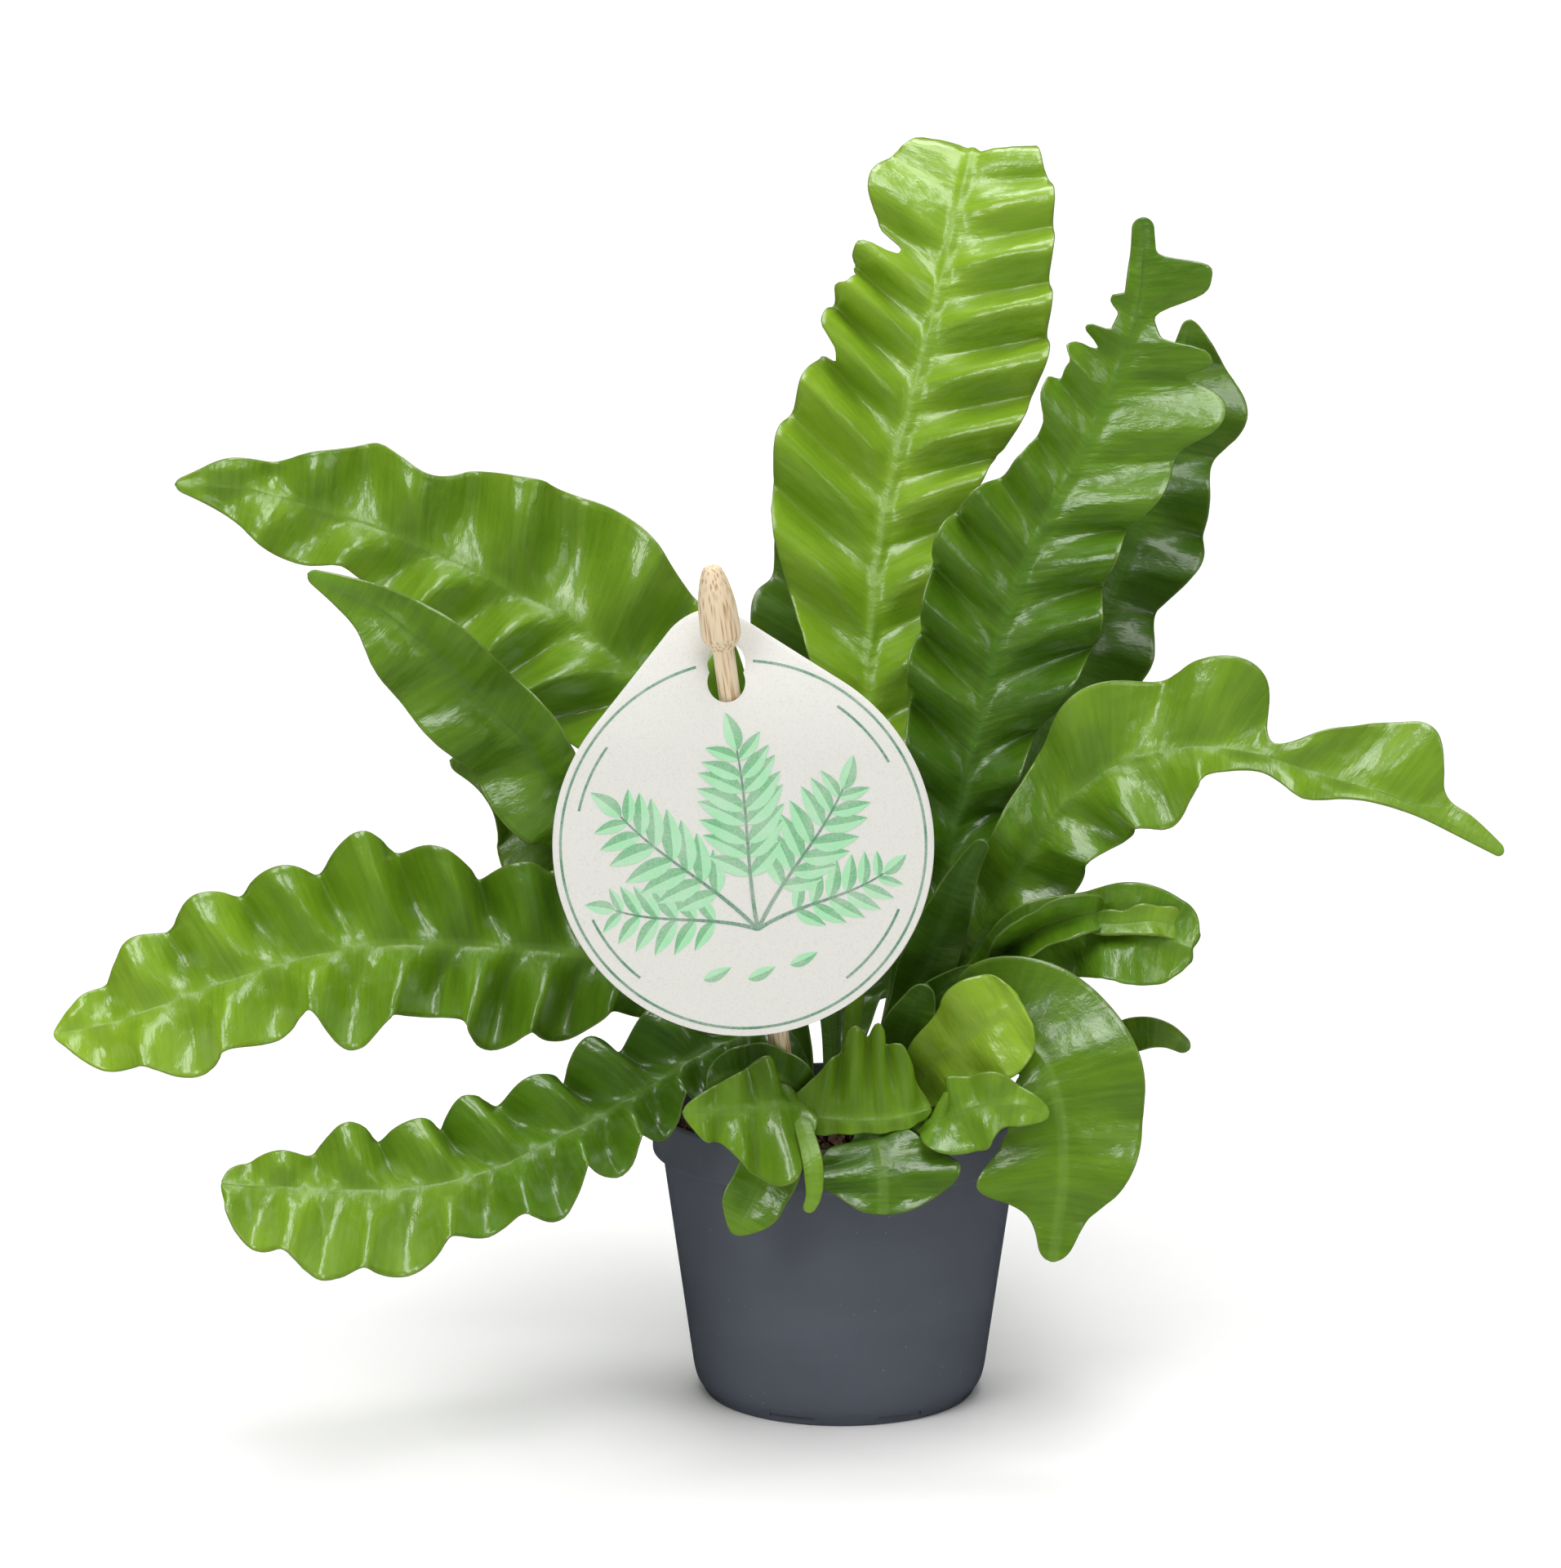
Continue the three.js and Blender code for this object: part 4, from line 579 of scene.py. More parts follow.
def bladeSheet(frond, u, v):
    # upper face on a grid of u along and v across, with what the relief and colour need
    detail = bladeDetail
    rib, along, length = midrib(frond["path"], u)
    up = keyed(frond["face"], u)
    up = unit(up - (up * along).sum(1, keepdims=True) * along)
    across = np.cross(along, up)
    least = detail["leastWidth"]
    widths = [np.maximum(through(frond.get(key, frond.get("width")), u)[:, 0], least)
              for key in ("left", "right")]
    for side, place, half, height in frond.get("lobes", []):
        widths[side] = np.maximum(widths[side] + height * np.exp(-((u - place) / half) ** 4), least)
    # round off the very tip, never quite shut so that the rim has an end
    for side, w in enumerate(widths):
        close = np.clip(1 - (1 - u) * length / np.minimum(w, detail["tipRound"]), 0, 1)
        closing = np.sqrt(np.maximum(1 - close ** 2, detail["tipLeft"]))
        widths[side] = w * lerp(1, closing, np.minimum(detail["tipRound"] / w, 1))
    grid, v = np.meshgrid(u, v, indexing="ij")
    pick = lambda pair: np.where(v < 0, pair[0], pair[1])
    w = pick([q[:, None] for q in widths])
    phase = pick([phaseAt(frond.get(key, frond.get("crests")), u)[:, None]
                  for key in ("crestsLeft", "crestsRight")])
    scallop, cup, sweep = (pick(frond[key]) for key in ("scallop", "cup", "sweep"))
    a = np.abs(v)
    lift = keyed(frond["ruffle"], u)
    env = smooth((grid - detail["waveStart"]) / detail["waveRise"]) * smooth(w / detail["wideBlade"])
    fade = 1 - grid ** 6  # the cup and the sweep die out at the tip
    # waves that grow from the rib, with a swell halfway out and valleys a little tighter than crests
    folded = frond.get("folded", 1.0)
    pleat = 2 * np.abs(np.cos((phase - np.pi / 2) / 2)) - 1
    wave = lerp(np.sin(phase), pleat, detail["pleat"] * min(folded, 1))
    profile = a ** 1.5 + detail["midWave"] * folded * (4 * a * (1 - a)) ** 1.5
    ruffle = lift * env * profile * wave
    ruffle += detail["ripple"] * lift * env * a * np.sin(detail["rippleRate"] * phase + 1.3)
    reach = w * (1 + scallop * env * a * a * np.sin(phase)) * a
    angle = np.radians(cup * fade)
    spread = -detail["edgeSway"] * lift * env * a * a * np.cos(phase) * np.sign(scallop)
    points = (rib[:, None] + (np.sign(v) * reach * np.cos(angle))[..., None] * across[:, None]
              + (reach * np.sin(angle) + ruffle)[..., None] * up[:, None]
              + (sweep * w * a * fade + spread)[..., None] * along[:, None])
    return points, {"along": grid * length, "across": np.sign(v) * reach, "reach": a, "env": env,
                    "width": w, "u": grid}


def thicknessAt(u, v, width):
    # a round stalk that becomes a thick rib in a thin blade
    detail = bladeDetail
    a, blade = np.abs(v), smooth((width - detail["stalkWidth"]) / detail["stalkFade"])
    stalk = detail["stalkThickness"] * (1 - detail["stalkRound"] * a * a)
    ribPart = lerp(detail["stalkThickness"], detail["ribThicknessTip"], u)
    offRib = smooth((a * width - detail["ribHalf"]) / detail["ribFade"])
    thin = lerp(ribPart, detail["bladeThickness"], offRib)
    return np.maximum(lerp(stalk, thin, blade), detail["bladeThickness"])


def bladeMesh(frond, seed):
    # closed blade: upper face, lower face, and a rounded rim all the way round
    detail = bladeDetail
    length = midrib(frond["path"], np.array([0.0]))[2]
    start = 1 - detail["tipRound"] / length
    steps = max(detail["leastRows"], int(round(length / detail["stepLength"])))
    u = np.r_[np.linspace(0, start, steps), np.linspace(start, 1, detail["tipRows"] + 1)[1:]]
    half = detail["halfColumns"]
    bias = (np.arange(half + 1) / half) ** detail["columnBias"]
    v = np.r_[-bias[:0:-1], bias]
    top, facts = bladeSheet(frond, u, v)
    alongU, acrossV = np.gradient(top, axis=0), np.gradient(top, axis=1)
    normal = unit(np.cross(acrossV, alongU))
    for _ in range(2):  # evened, so that the lower face doesn't pinch in the valleys
        padded = np.pad(normal, ((1, 1), (1, 1), (0, 0)), mode="edge")
        normal = unit(padded[:-2, 1:-1] + padded[2:, 1:-1] + padded[1:-1, :-2] + padded[1:-1, 2:]
                      + 2 * normal)
    thick = thicknessAt(facts["u"], v[None, :], facts["width"])
    low = top - normal * thick[..., None]
    count = len(u) * len(v)
    index = np.arange(count).reshape(len(u), len(v))
    loop = np.r_[index[0, :-1], index[:-1, -1], index[-1, :0:-1], index[:0:-1, 0]]
    flatTop, flatLow, flatNormal = (q.reshape(-1, 3) for q in (top, low, normal))
    middle = (flatTop[loop] + flatLow[loop]) / 2
    tangent = np.roll(middle, -1, 0) - np.roll(middle, 1, 0)
    outward = unit(np.cross(tangent, flatNormal[loop]))
    rim = middle + outward * detail["edgeRound"]
    points = np.vstack([flatTop, flatLow, rim])
    # four corners for each face of the two sheets, then the two strips that meet at the rim
    a, b = index[:-1, :-1].ravel(), index[:-1, 1:].ravel()
    c, d = index[1:, 1:].ravel(), index[1:, :-1].ravel()
    q, r = loop, np.roll(loop, -1)
    rq = 2 * count + np.arange(len(loop))
    rr = np.roll(rq, -1)
    faces = np.vstack([np.stack([a, b, c, d], 1), np.stack([a, d, c, b], 1) + count,
                       np.stack([r, q, rq, rr], 1), np.stack([rr, rq, q + count, r + count], 1)])
    spread = lambda field: np.r_[field.ravel(), field.ravel(), field.ravel()[loop]]
    place = np.stack([spread(facts["along"]) * mm, spread(facts["across"]) * mm,
                      np.full(len(points), seed * detail["seedStep"])], 1)
    layers = {"bladePlace": ("FLOAT_VECTOR", place),
              "sheetNormal": ("FLOAT_VECTOR", np.vstack([flatNormal, flatNormal, flatNormal[loop]])),
              "reach": ("FLOAT", spread(facts["reach"])),
              "blade": ("FLOAT", spread(facts["env"])),
              "tone": ("FLOAT", keyed(frond["tone"], spread(facts["u"]))[:, 0]),
              "under": ("FLOAT", np.r_[np.zeros(count), np.ones(count), np.full(len(loop), 0.5)])}
    return points, faces, layers


def reliefTree():
    # relief that follows the blade: oblique folds, puckers between the veins and the raised rib
    tree, sizes = newTree("blade_relief", {
        "Fold Spacing": ("Float", 0.006), "Fold Height": ("Float", 0.0007),
        "Pucker Size": ("Float", 0.004), "Pucker Height": ("Float", 0.0003),
        "Rib Width": ("Float", 0.0024), "Rib Height": ("Float", 0.0007),
        "Groove Depth": ("Float", 0.0004), "Material": ("Material", None)})
    place = addNode(tree, "GeometryNodeInputNamedAttribute", {"Name": "bladePlace"},
                    data_type="FLOAT_VECTOR")
    normal = addNode(tree, "GeometryNodeInputNamedAttribute", {"Name": "sheetNormal"},
                     data_type="FLOAT_VECTOR")
    blade = addNode(tree, "GeometryNodeInputNamedAttribute", {"Name": "blade"}, data_type="FLOAT")
    under = addNode(tree, "GeometryNodeInputNamedAttribute", {"Name": "under"}, data_type="FLOAT")
    parts = addNode(tree, "ShaderNodeSeparateXYZ", {0: place})
    terms = []
    for sizeName, heightName, stretch, detail in (("Fold Spacing", "Fold Height", 5.0, 1.0),
                                                  ("Pucker Size", "Pucker Height", 1.5, 2.0)):
        s = addNode(tree, "ShaderNodeMath", {0: (parts, 0), 1: (sizes, sizeName)}, operation="DIVIDE")
        t = addNode(tree, "ShaderNodeMath", {0: (parts, 1), 1: (sizes, sizeName)}, operation="DIVIDE")
        t = addNode(tree, "ShaderNodeMath", {0: t, 1: stretch}, operation="DIVIDE")
        where = addNode(tree, "ShaderNodeCombineXYZ", {0: s, 1: t, 2: (parts, 2)})
        noise = addNode(tree, "ShaderNodeTexNoise", {"Vector": where, "Scale": 1.0, "Detail": detail,
                        "Roughness": 0.5})
        # the noise swings a quarter each way, so four times it fills the height
        swing = addNode(tree, "ShaderNodeMath", {0: noise, 1: -0.5}, operation="ADD")
        height = addNode(tree, "ShaderNodeMath", {0: swing, 1: (sizes, heightName)},
                         operation="MULTIPLY")
        height = addNode(tree, "ShaderNodeMath", {0: height, 1: 4.0}, operation="MULTIPLY")
        terms.append(addNode(tree, "ShaderNodeMath", {0: height, 1: blade}, operation="MULTIPLY"))
    # rib: a round ridge on the upper face alone, in a wider shallow groove
    offRib = addNode(tree, "ShaderNodeMath", {0: (parts, 1), 1: (sizes, "Rib Width")},
                     operation="DIVIDE")
    square = addNode(tree, "ShaderNodeMath", {0: offRib, 1: offRib}, operation="MULTIPLY")
    bells = {}
    for heightName, spread in (("Rib Height", -1.0), ("Groove Depth", -0.22)):
        power = addNode(tree, "ShaderNodeMath", {0: square, 1: spread}, operation="MULTIPLY")
        bell = addNode(tree, "ShaderNodeMath", {0: power}, operation="EXPONENT")
        bells[heightName] = addNode(tree, "ShaderNodeMath", {0: bell, 1: (sizes, heightName)},
                                    operation="MULTIPLY")
    upper = addNode(tree, "ShaderNodeMath", {0: 1.0, 1: under}, operation="SUBTRACT")
    ridge = addNode(tree, "ShaderNodeMath", {0: bells["Rib Height"], 1: upper}, operation="MULTIPLY")
    sunk = addNode(tree, "ShaderNodeMath", {0: bells["Groove Depth"], 1: blade}, operation="MULTIPLY")
    groove = addNode(tree, "ShaderNodeMath", {0: sunk, 1: -1.0}, operation="MULTIPLY")
    total = terms[0]
    for term in (terms[1], ridge, groove):
        total = addNode(tree, "ShaderNodeMath", {0: total, 1: term}, operation="ADD")
    offset = addNode(tree, "ShaderNodeVectorMath", {0: normal, "Scale": total}, operation="SCALE")
    moved = addNode(tree, "GeometryNodeSetPosition", {"Geometry": (sizes, "Geometry"),
                    "Offset": offset})
    closeTree(tree, moved, (sizes, "Material"))
    return tree


def growFronds():
    # one piece for each leaf, its branches joined into it
    relief = reliefTree()
    branches = [frond for frond in fronds if "branchOf" in frond]
    for number, frond in enumerate(fronds):
        if frond in branches:
            continue
        family = [frond] + [branch for branch in branches if branch["branchOf"] == frond["name"]]
        allPoints, allFaces, allLayers, start = [], [], {}, 0
        for twig, member in enumerate(family):
            points, faces, layers = bladeMesh(member, number + 0.37 * twig)
            allPoints.append(points)
            allFaces.append(faces + start)
            start += len(points)
            for key, (kind, values) in layers.items():
                allLayers.setdefault(key, (kind, []))[1].append(values)
        piece = newPiece("blade_" + frond["name"], np.vstack(allPoints), np.vstack(allFaces))
        for key, (kind, values) in allLayers.items():
            setAttribute(piece.data, key, kind, np.concatenate(values))
        grow(piece, relief, {**bladeRelief, "Rib Height": frond.get("ribHeight", 0.4) * mm,
                             "Material": leafMaterials[frond["leaf"]]})
        fit(piece, ["frond_" + frond["name"]])
    print("fronds grown:", len(fronds) - len(branches))


growFronds()


def revolve(outline, sides):
    # closed body of revolution about Z from [radius, z] points, counter-clockwise
    outline = np.asarray(outline, float)
    angles = 2 * np.pi * np.arange(sides) / sides
    rings, points, start = [], [], 0
    for r, z in outline:
        n = 1 if r < 1e-9 else sides
        rings.append(start + (np.zeros(sides, int) if n == 1 else np.arange(sides)))
        points.append(np.stack([r * np.cos(angles[:n]), r * np.sin(angles[:n]), np.full(n, z)], 1))
        start += n
    faces = []
    for k in range(len(outline)):
        m = (k + 1) % len(outline)
        low, high = rings[k], rings[m]
        if low[0] == low[1] and high[0] == high[1]:
            continue
        a, b, c, d = low, np.roll(low, -1), np.roll(high, -1), high
        if low[0] == low[1]:
            faces.append(np.stack([a, c, d, np.full(sides, -1)], 1))
        elif high[0] == high[1]:
            faces.append(np.stack([a, b, c, np.full(sides, -1)], 1))
        else:
            faces.append(np.stack([a, b, c, d], 1))
    return np.vstack(points), np.vstack(faces)


def rounded(outline, radii, steps=5):
    # outline with its corners eased by the radii given for some of them
    points = []
    n = len(outline)
    for k, corner in enumerate(outline):
        corner = np.asarray(corner, float)
        r = radii.get(k, 0)
        if r == 0:
            points.append(corner)
            continue
        before = np.asarray(outline[k - 1], float) - corner
        after = np.asarray(outline[(k + 1) % n], float) - corner
        p = corner + before / np.linalg.norm(before) * min(r, np.linalg.norm(before) * 0.45)
        q = corner + after / np.linalg.norm(after) * min(r, np.linalg.norm(after) * 0.45)
        for s in np.linspace(0, 1, steps):
            points.append((1 - s) ** 2 * p + 2 * s * (1 - s) * corner + s * s * q)
    return np.array(points)


def cutWith(piece, cutters):
    # takes the cutters out of the piece and keeps the plain mesh
    for cutter in cutters:
        modifier = piece.modifiers.new("cut", "BOOLEAN")
        modifier.operation, modifier.solver, modifier.object = "DIFFERENCE", "EXACT", cutter
        bpy.context.view_layer.update()
        done = piece.evaluated_get(bpy.context.evaluated_depsgraph_get())
        mesh = bpy.data.meshes.new_from_object(done)
        piece.modifiers.remove(modifier)
        piece.data = mesh
        bpy.data.objects.remove(cutter)
    return piece


def boxPiece(name, centre, size, turn):
    # a cutter: a box turned about Z
    signs = np.array([[x, y, z] for z in (-1, 1) for y in (-1, 1) for x in (-1, 1)]) / 2
    points = signs * size + centre
    c, s = math.cos(turn), math.sin(turn)
    points = np.stack([points[:, 0] * c - points[:, 1] * s, points[:, 0] * s + points[:, 1] * c,
                       points[:, 2]], 1)
    faces = [[0, 2, 3, 1], [4, 5, 7, 6], [0, 1, 5, 4], [2, 6, 7, 3], [0, 4, 6, 2], [1, 3, 7, 5]]
    return newPiece(name, points, faces)


# Polypropylene, thermoformed from recycled sheet: satin blue-grey skin with a faint orange
# peel, slow lighter clouds where the sheet was drawn, and a few pale specks of dust.
pot = {"height": 93, "rimRadius": 60, "bandHeight": 14, "wallTop": 57, "wallFoot": 47,
       "wallStart": 8, "footRadius": 43.4, "feet": 8, "footGap": 15, "footGapDepth": 3,
       "firstGap": 249.7, "drainHoles": 4, "drainRadius": 4, "drainAt": 29, "wall": 1.2,
       "floor": 3.6, "sides": 224, "sheet": "#525660", "light": "#5d626d", "dust": "#a9a69c",
       "rough": 0.42, "roughSwing": 0.14, "peelSize": 0.9, "peelBump": 0.03, "speckSpacing": 5.0,
       "speckCore": 0.035, "speckEdge": 0.06, "speckShare": 0.5, "flowWidth": 40,
       "flowHeight": 16.7}


def potMaterial():
    material, tree = newMaterial("polypropylene_thermoformed")
    place = addNode(tree, "ShaderNodeTexCoord")
    peelPlace = addNode(tree, "ShaderNodeMapping", {"Vector": (place, "Object"),
                        "Scale": cellScale(pot["peelSize"])})
    peel = addNode(tree, "ShaderNodeTexNoise", {"Vector": peelPlace, "Scale": 1.0, "Detail": 3.0})
    flowPlace = addNode(tree, "ShaderNodeMapping", {"Vector": (place, "Object"),
                        "Scale": cellScale(pot["flowWidth"], pot["flowWidth"], pot["flowHeight"])})
    flow = addNode(tree, "ShaderNodeTexNoise", {"Vector": flowPlace, "Scale": 1.0, "Detail": 4.0})
    base = addNode(tree, "ShaderNodeMix", {0: flow, 6: colour(pot["sheet"]), 7: colour(pot["light"])},
                   data_type="RGBA")
    # dust: small pale specks
    dustPlace = addNode(tree, "ShaderNodeMapping", {"Vector": (place, "Object"),
                        "Scale": cellScale(pot["speckSpacing"])})
    dust = addNode(tree, "ShaderNodeTexVoronoi", {"Vector": dustPlace, "Scale": 1.0},
                   feature="F1")
    speck = addNode(tree, "ShaderNodeMapRange", {0: (dust, "Distance"), 1: pot["speckCore"],
                    2: pot["speckEdge"], 3: pot["speckShare"], 4: 0.0})
    dusty = addNode(tree, "ShaderNodeMix", {0: speck, 6: (base, 2), 7: colour(pot["dust"])},
                    data_type="RGBA")
    rough = addNode(tree, "ShaderNodeMath", {0: flow, 1: pot["roughSwing"],
                    2: pot["rough"] - pot["roughSwing"] / 2}, operation="MULTIPLY_ADD")
    bump = addNode(tree, "ShaderNodeBump", {"Height": peel, "Strength": 1.0,
                   "Distance": pot["peelBump"] * mm})
    body = addNode(tree, "ShaderNodeBsdfPrincipled", {"Base Color": (dusty, 2), "Roughness": rough,
                   "Normal": bump, "IOR": 1.49, "Specular IOR Level": 0.4})
    addNode(tree, "ShaderNodeOutputMaterial", {0: body})
    return material


def potInside(z):
    # inner radius of the tapered wall at height z
    start, top = pot["wallStart"], pot["height"] - pot["bandHeight"]
    return lerp(pot["wallFoot"], pot["wallTop"], (z - start) / (top - start)) - pot["wall"]


def buildPot():
    h, rim, foot, w = (pot[key] for key in ("height", "rimRadius", "footRadius", "wall"))
    band, start = h - pot["bandHeight"], pot["wallStart"]
    inner = potInside(start)
    outline = [
        [0, 0], [10, 0], [12, 2.2], [foot - 2.2, 2.2], [foot - 2.2, 0], [foot, 0], [foot + 1.4, 2.6],
        [pot["wallFoot"] - 0.9, 4.6], [pot["wallFoot"], start], [pot["wallTop"] - 0.5, band - 3],
        [pot["wallTop"], band], [rim - 0.3, band], [rim, band + 0.6], [rim, h - 1], [rim - 0.6, h],
        [rim - w, h], [rim - w - 0.4, h - 1], [rim - w - 0.4, band + 3], [potInside(band), band + 0.6],
        [inner, start], [inner - 3.4, pot["floor"]], [0, pot["floor"]]]
    eased = rounded(outline, {2: 0.8, 5: 0.5, 6: 1.2, 7: 1.6, 8: 2.4, 10: 0.5, 11: 0.4, 12: 0.6, 13: 0.6,
                              14: 0.5, 15: 0.4, 18: 1.0, 19: 2.0, 20: 1.5})
    points, faces = revolve(eased, pot["sides"])
    piece = newPiece("pot_shell", points, faces, potMaterial())
    gaps = [boxPiece("gap", (foot + 3, 0, 0), (6, pot["footGap"], 2 * pot["footGapDepth"]),
                     math.radians(pot["firstGap"] + 360 / pot["feet"] * k)) for k in range(pot["feet"])]
    drains = []
    for k in range(pot["drainHoles"]):
        angle = 2 * math.pi * (k + 0.5) / pot["drainHoles"]
        ring, hole = revolve([[0, -1], [pot["drainRadius"], -1], [pot["drainRadius"], 7], [0, 7]], 32)
        ring = ring + [pot["drainAt"] * math.cos(angle), pot["drainAt"] * math.sin(angle), 0]
        drains.append(newPiece("drain", ring, hole))
    cutWith(piece, gaps + drains)
    piece.data.set_sharp_from_angle(angle=math.radians(38))
    fit(piece, ["pot"])


buildPot()
print("pot formed")

# Potting mix: damp peat and coir. Matt dark brown crumbs of 1 to 4 mm with paler fibre.
soil = {"top": 85, "brim": 58.1, "crownRadius": 31.4, "wallGap": 0.3, "sides": 160, "rings": 26,
        "crumb": 1.5, "density": 230000, "peat": "#2b1f17", "crumbLight": "#5a4330",
        "leastCrumb": (0.25, 0.25, 0.2), "mostCrumb": (1.25, 0.9, 0.6), "fibreSize": 0.625,
        "clodSize": 4.17, "bump": 0.3, "rough": 0.95, "waves": 14, "waveRate": 0.28,
        "waveHeight": 0.16, "settled": 0.5}


def soilMaterial():
    material, tree = newMaterial("peat_and_coir")
    place = addNode(tree, "ShaderNodeTexCoord")
    finePlace = addNode(tree, "ShaderNodeMapping", {"Vector": (place, "Object"),
                        "Scale": cellScale(soil["fibreSize"])})
    fine = addNode(tree, "ShaderNodeTexNoise", {"Vector": finePlace, "Scale": 1.0, "Detail": 4.0})
    broadPlace = addNode(tree, "ShaderNodeMapping", {"Vector": (place, "Object"),
                         "Scale": cellScale(soil["clodSize"])})
    broad = addNode(tree, "ShaderNodeTexNoise", {"Vector": broadPlace, "Scale": 1.0, "Detail": 2.0})
    mixed = addNode(tree, "ShaderNodeMath", {0: fine, 1: broad}, operation="MULTIPLY")
    ramp = addNode(tree, "ShaderNodeValToRGB", {0: mixed})
    ramp.color_ramp.elements[0].color = colour(soil["peat"])
    ramp.color_ramp.elements[0].position = 0.15
    ramp.color_ramp.elements[1].color = colour(soil["crumbLight"])
    ramp.color_ramp.elements[1].position = 0.5
    bump = addNode(tree, "ShaderNodeBump", {"Height": fine, "Strength": 1.0,
                   "Distance": soil["bump"] * mm})
    body = addNode(tree, "ShaderNodeBsdfPrincipled", {"Base Color": ramp, "Roughness": soil["rough"],
                   "Normal": bump, "Specular IOR Level": 0.25})
    addNode(tree, "ShaderNodeOutputMaterial", {0: body})
    return material


def crumbTree():
    # flattened crumbs of many sizes, scattered over the top alone
    tree, sizes = newTree("crumbs", {"Crumb Size": ("Float", 0.0015), "Density": ("Float", 100000.0),
                          "Lowest": ("Float", 0.08), "Seed": ("Int", 1), "Material": ("Material", None)})
    place = addNode(tree, "GeometryNodeInputPosition")
    level = addNode(tree, "ShaderNodeSeparateXYZ", {0: place})
    isTop = addNode(tree, "FunctionNodeCompare", {0: (level, 2), 1: (sizes, "Lowest")},
                    operation="GREATER_THAN")
    scatter = addNode(tree, "GeometryNodeDistributePointsOnFaces", {"Mesh": (sizes, "Geometry"),
                      "Selection": isTop, "Density": (sizes, "Density"), "Seed": (sizes, "Seed")})
    crumb = addNode(tree, "GeometryNodeMeshIcoSphere", {"Radius": (sizes, "Crumb Size"),
                    "Subdivisions": 1})
    turn = addNode(tree, "FunctionNodeRandomValue", {0: (0, 0, 0), 1: (6.28, 6.28, 6.28),
                   "Seed": (sizes, "Seed")}, data_type="FLOAT_VECTOR")
    size = addNode(tree, "FunctionNodeRandomValue", {0: soil["leastCrumb"],
                   1: soil["mostCrumb"], "Seed": (sizes, "Seed")}, data_type="FLOAT_VECTOR")
    spread = addNode(tree, "GeometryNodeInstanceOnPoints", {"Points": scatter, "Instance": crumb,
                     "Rotation": (turn, 0), "Scale": (size, 0)})
    joined = addNode(tree, "GeometryNodeJoinGeometry")
    tree.links.new(sizes.outputs["Geometry"], joined.inputs[0])
    tree.links.new(spread.outputs[0], joined.inputs[0])
    closeTree(tree, joined, (sizes, "Material"))
    return tree


def buildSoil():
    inside = lambda z: potInside(z) - soil["wallGap"]
    brim, top, crownAt = soil["brim"], soil["top"], soil["crownRadius"]
    surface = [[r, lerp(top - 1.2, top, min(1, (brim - r) / 18))]
               for r in np.linspace(brim, crownAt, soil["rings"])]
    outline = [[0, 3.9], [inside(8) - 3.6, 3.9], [inside(8), 8.4], [inside(79), 80.3], [brim, 82.6]]
    outline += surface + [[crownAt, top - 5], [0, top - 5]]
    points, faces = revolve(outline, soil["sides"])
    # low waves, so that the mix doesn't lie flat
    rng = np.random.default_rng(5)
    waves = rng.normal(size=(soil["waves"], 2)) * soil["waveRate"]
    shifts = rng.uniform(0, 6.28, soil["waves"])
    heave = sum(np.sin(points[:, 0] * kx + points[:, 1] * ky + p) for (kx, ky), p in zip(waves, shifts))
    isTop = points[:, 2] > top - 1.5
    points[:, 2] += np.where(isTop, heave * soil["waveHeight"] - soil["settled"], 0)
    piece = newPiece("potting_mix", points, faces)
    material = soilMaterial()
    grow(piece, crumbTree(), {"Crumb Size": soil["crumb"] * mm, "Density": float(soil["density"]),
                              "Lowest": (top - 2.6) * mm, "Seed": 11, "Material": material})
    fit(piece, ["soil"])


buildSoil()
print("potting mix filled")

# Fern crown: a woody stock hidden under dry papery scales, dark brown with lighter tips.
crown = {"radius": 31, "base": 80.3, "sides": 96, "scaleLength": 8.5, "scaleWidth": 1.7,
         "scaleTip": 0.04, "flatness": 0.3, "tilt": (0.9, 0.9, 3.1), "leastScale": 0.45,
         "mostScale": 1.1, "density": 290000, "dark": "#2c1c10", "tip": "#7d5c38",
         "grainWidth": 1.11, "grainLength": 3.85, "patchSize": 6.25, "bump": 0.1, "rough": 0.7}


def crownMaterial():
    material, tree = newMaterial("fern_scales_dry")
    place = addNode(tree, "ShaderNodeTexCoord")
    grain = addNode(tree, "ShaderNodeMapping", {"Vector": (place, "Object"),
                    "Scale": cellScale(crown["grainWidth"], crown["grainWidth"], crown["grainLength"])})
    streak = addNode(tree, "ShaderNodeTexNoise", {"Vector": grain, "Scale": 1.0, "Detail": 3.0})
    broad = addNode(tree, "ShaderNodeMapping", {"Vector": (place, "Object"),
                    "Scale": cellScale(crown["patchSize"])})
    patch = addNode(tree, "ShaderNodeTexNoise", {"Vector": broad, "Scale": 1.0, "Detail": 1.0})
    blend = addNode(tree, "ShaderNodeMath", {0: streak, 1: patch}, operation="MULTIPLY")
    ramp = addNode(tree, "ShaderNodeValToRGB", {0: blend})
    ramp.color_ramp.elements[0].color = colour(crown["dark"])
    ramp.color_ramp.elements[0].position = 0.12
    ramp.color_ramp.elements[1].color = colour(crown["tip"])
    ramp.color_ramp.elements[1].position = 0.48
    bump = addNode(tree, "ShaderNodeBump", {"Height": streak, "Strength": 1.0,
                   "Distance": crown["bump"] * mm})
    body = addNode(tree, "ShaderNodeBsdfPrincipled", {"Base Color": ramp, "Roughness": crown["rough"],
                   "Normal": bump, "Specular IOR Level": 0.35})
    addNode(tree, "ShaderNodeOutputMaterial", {0: body})
    return material


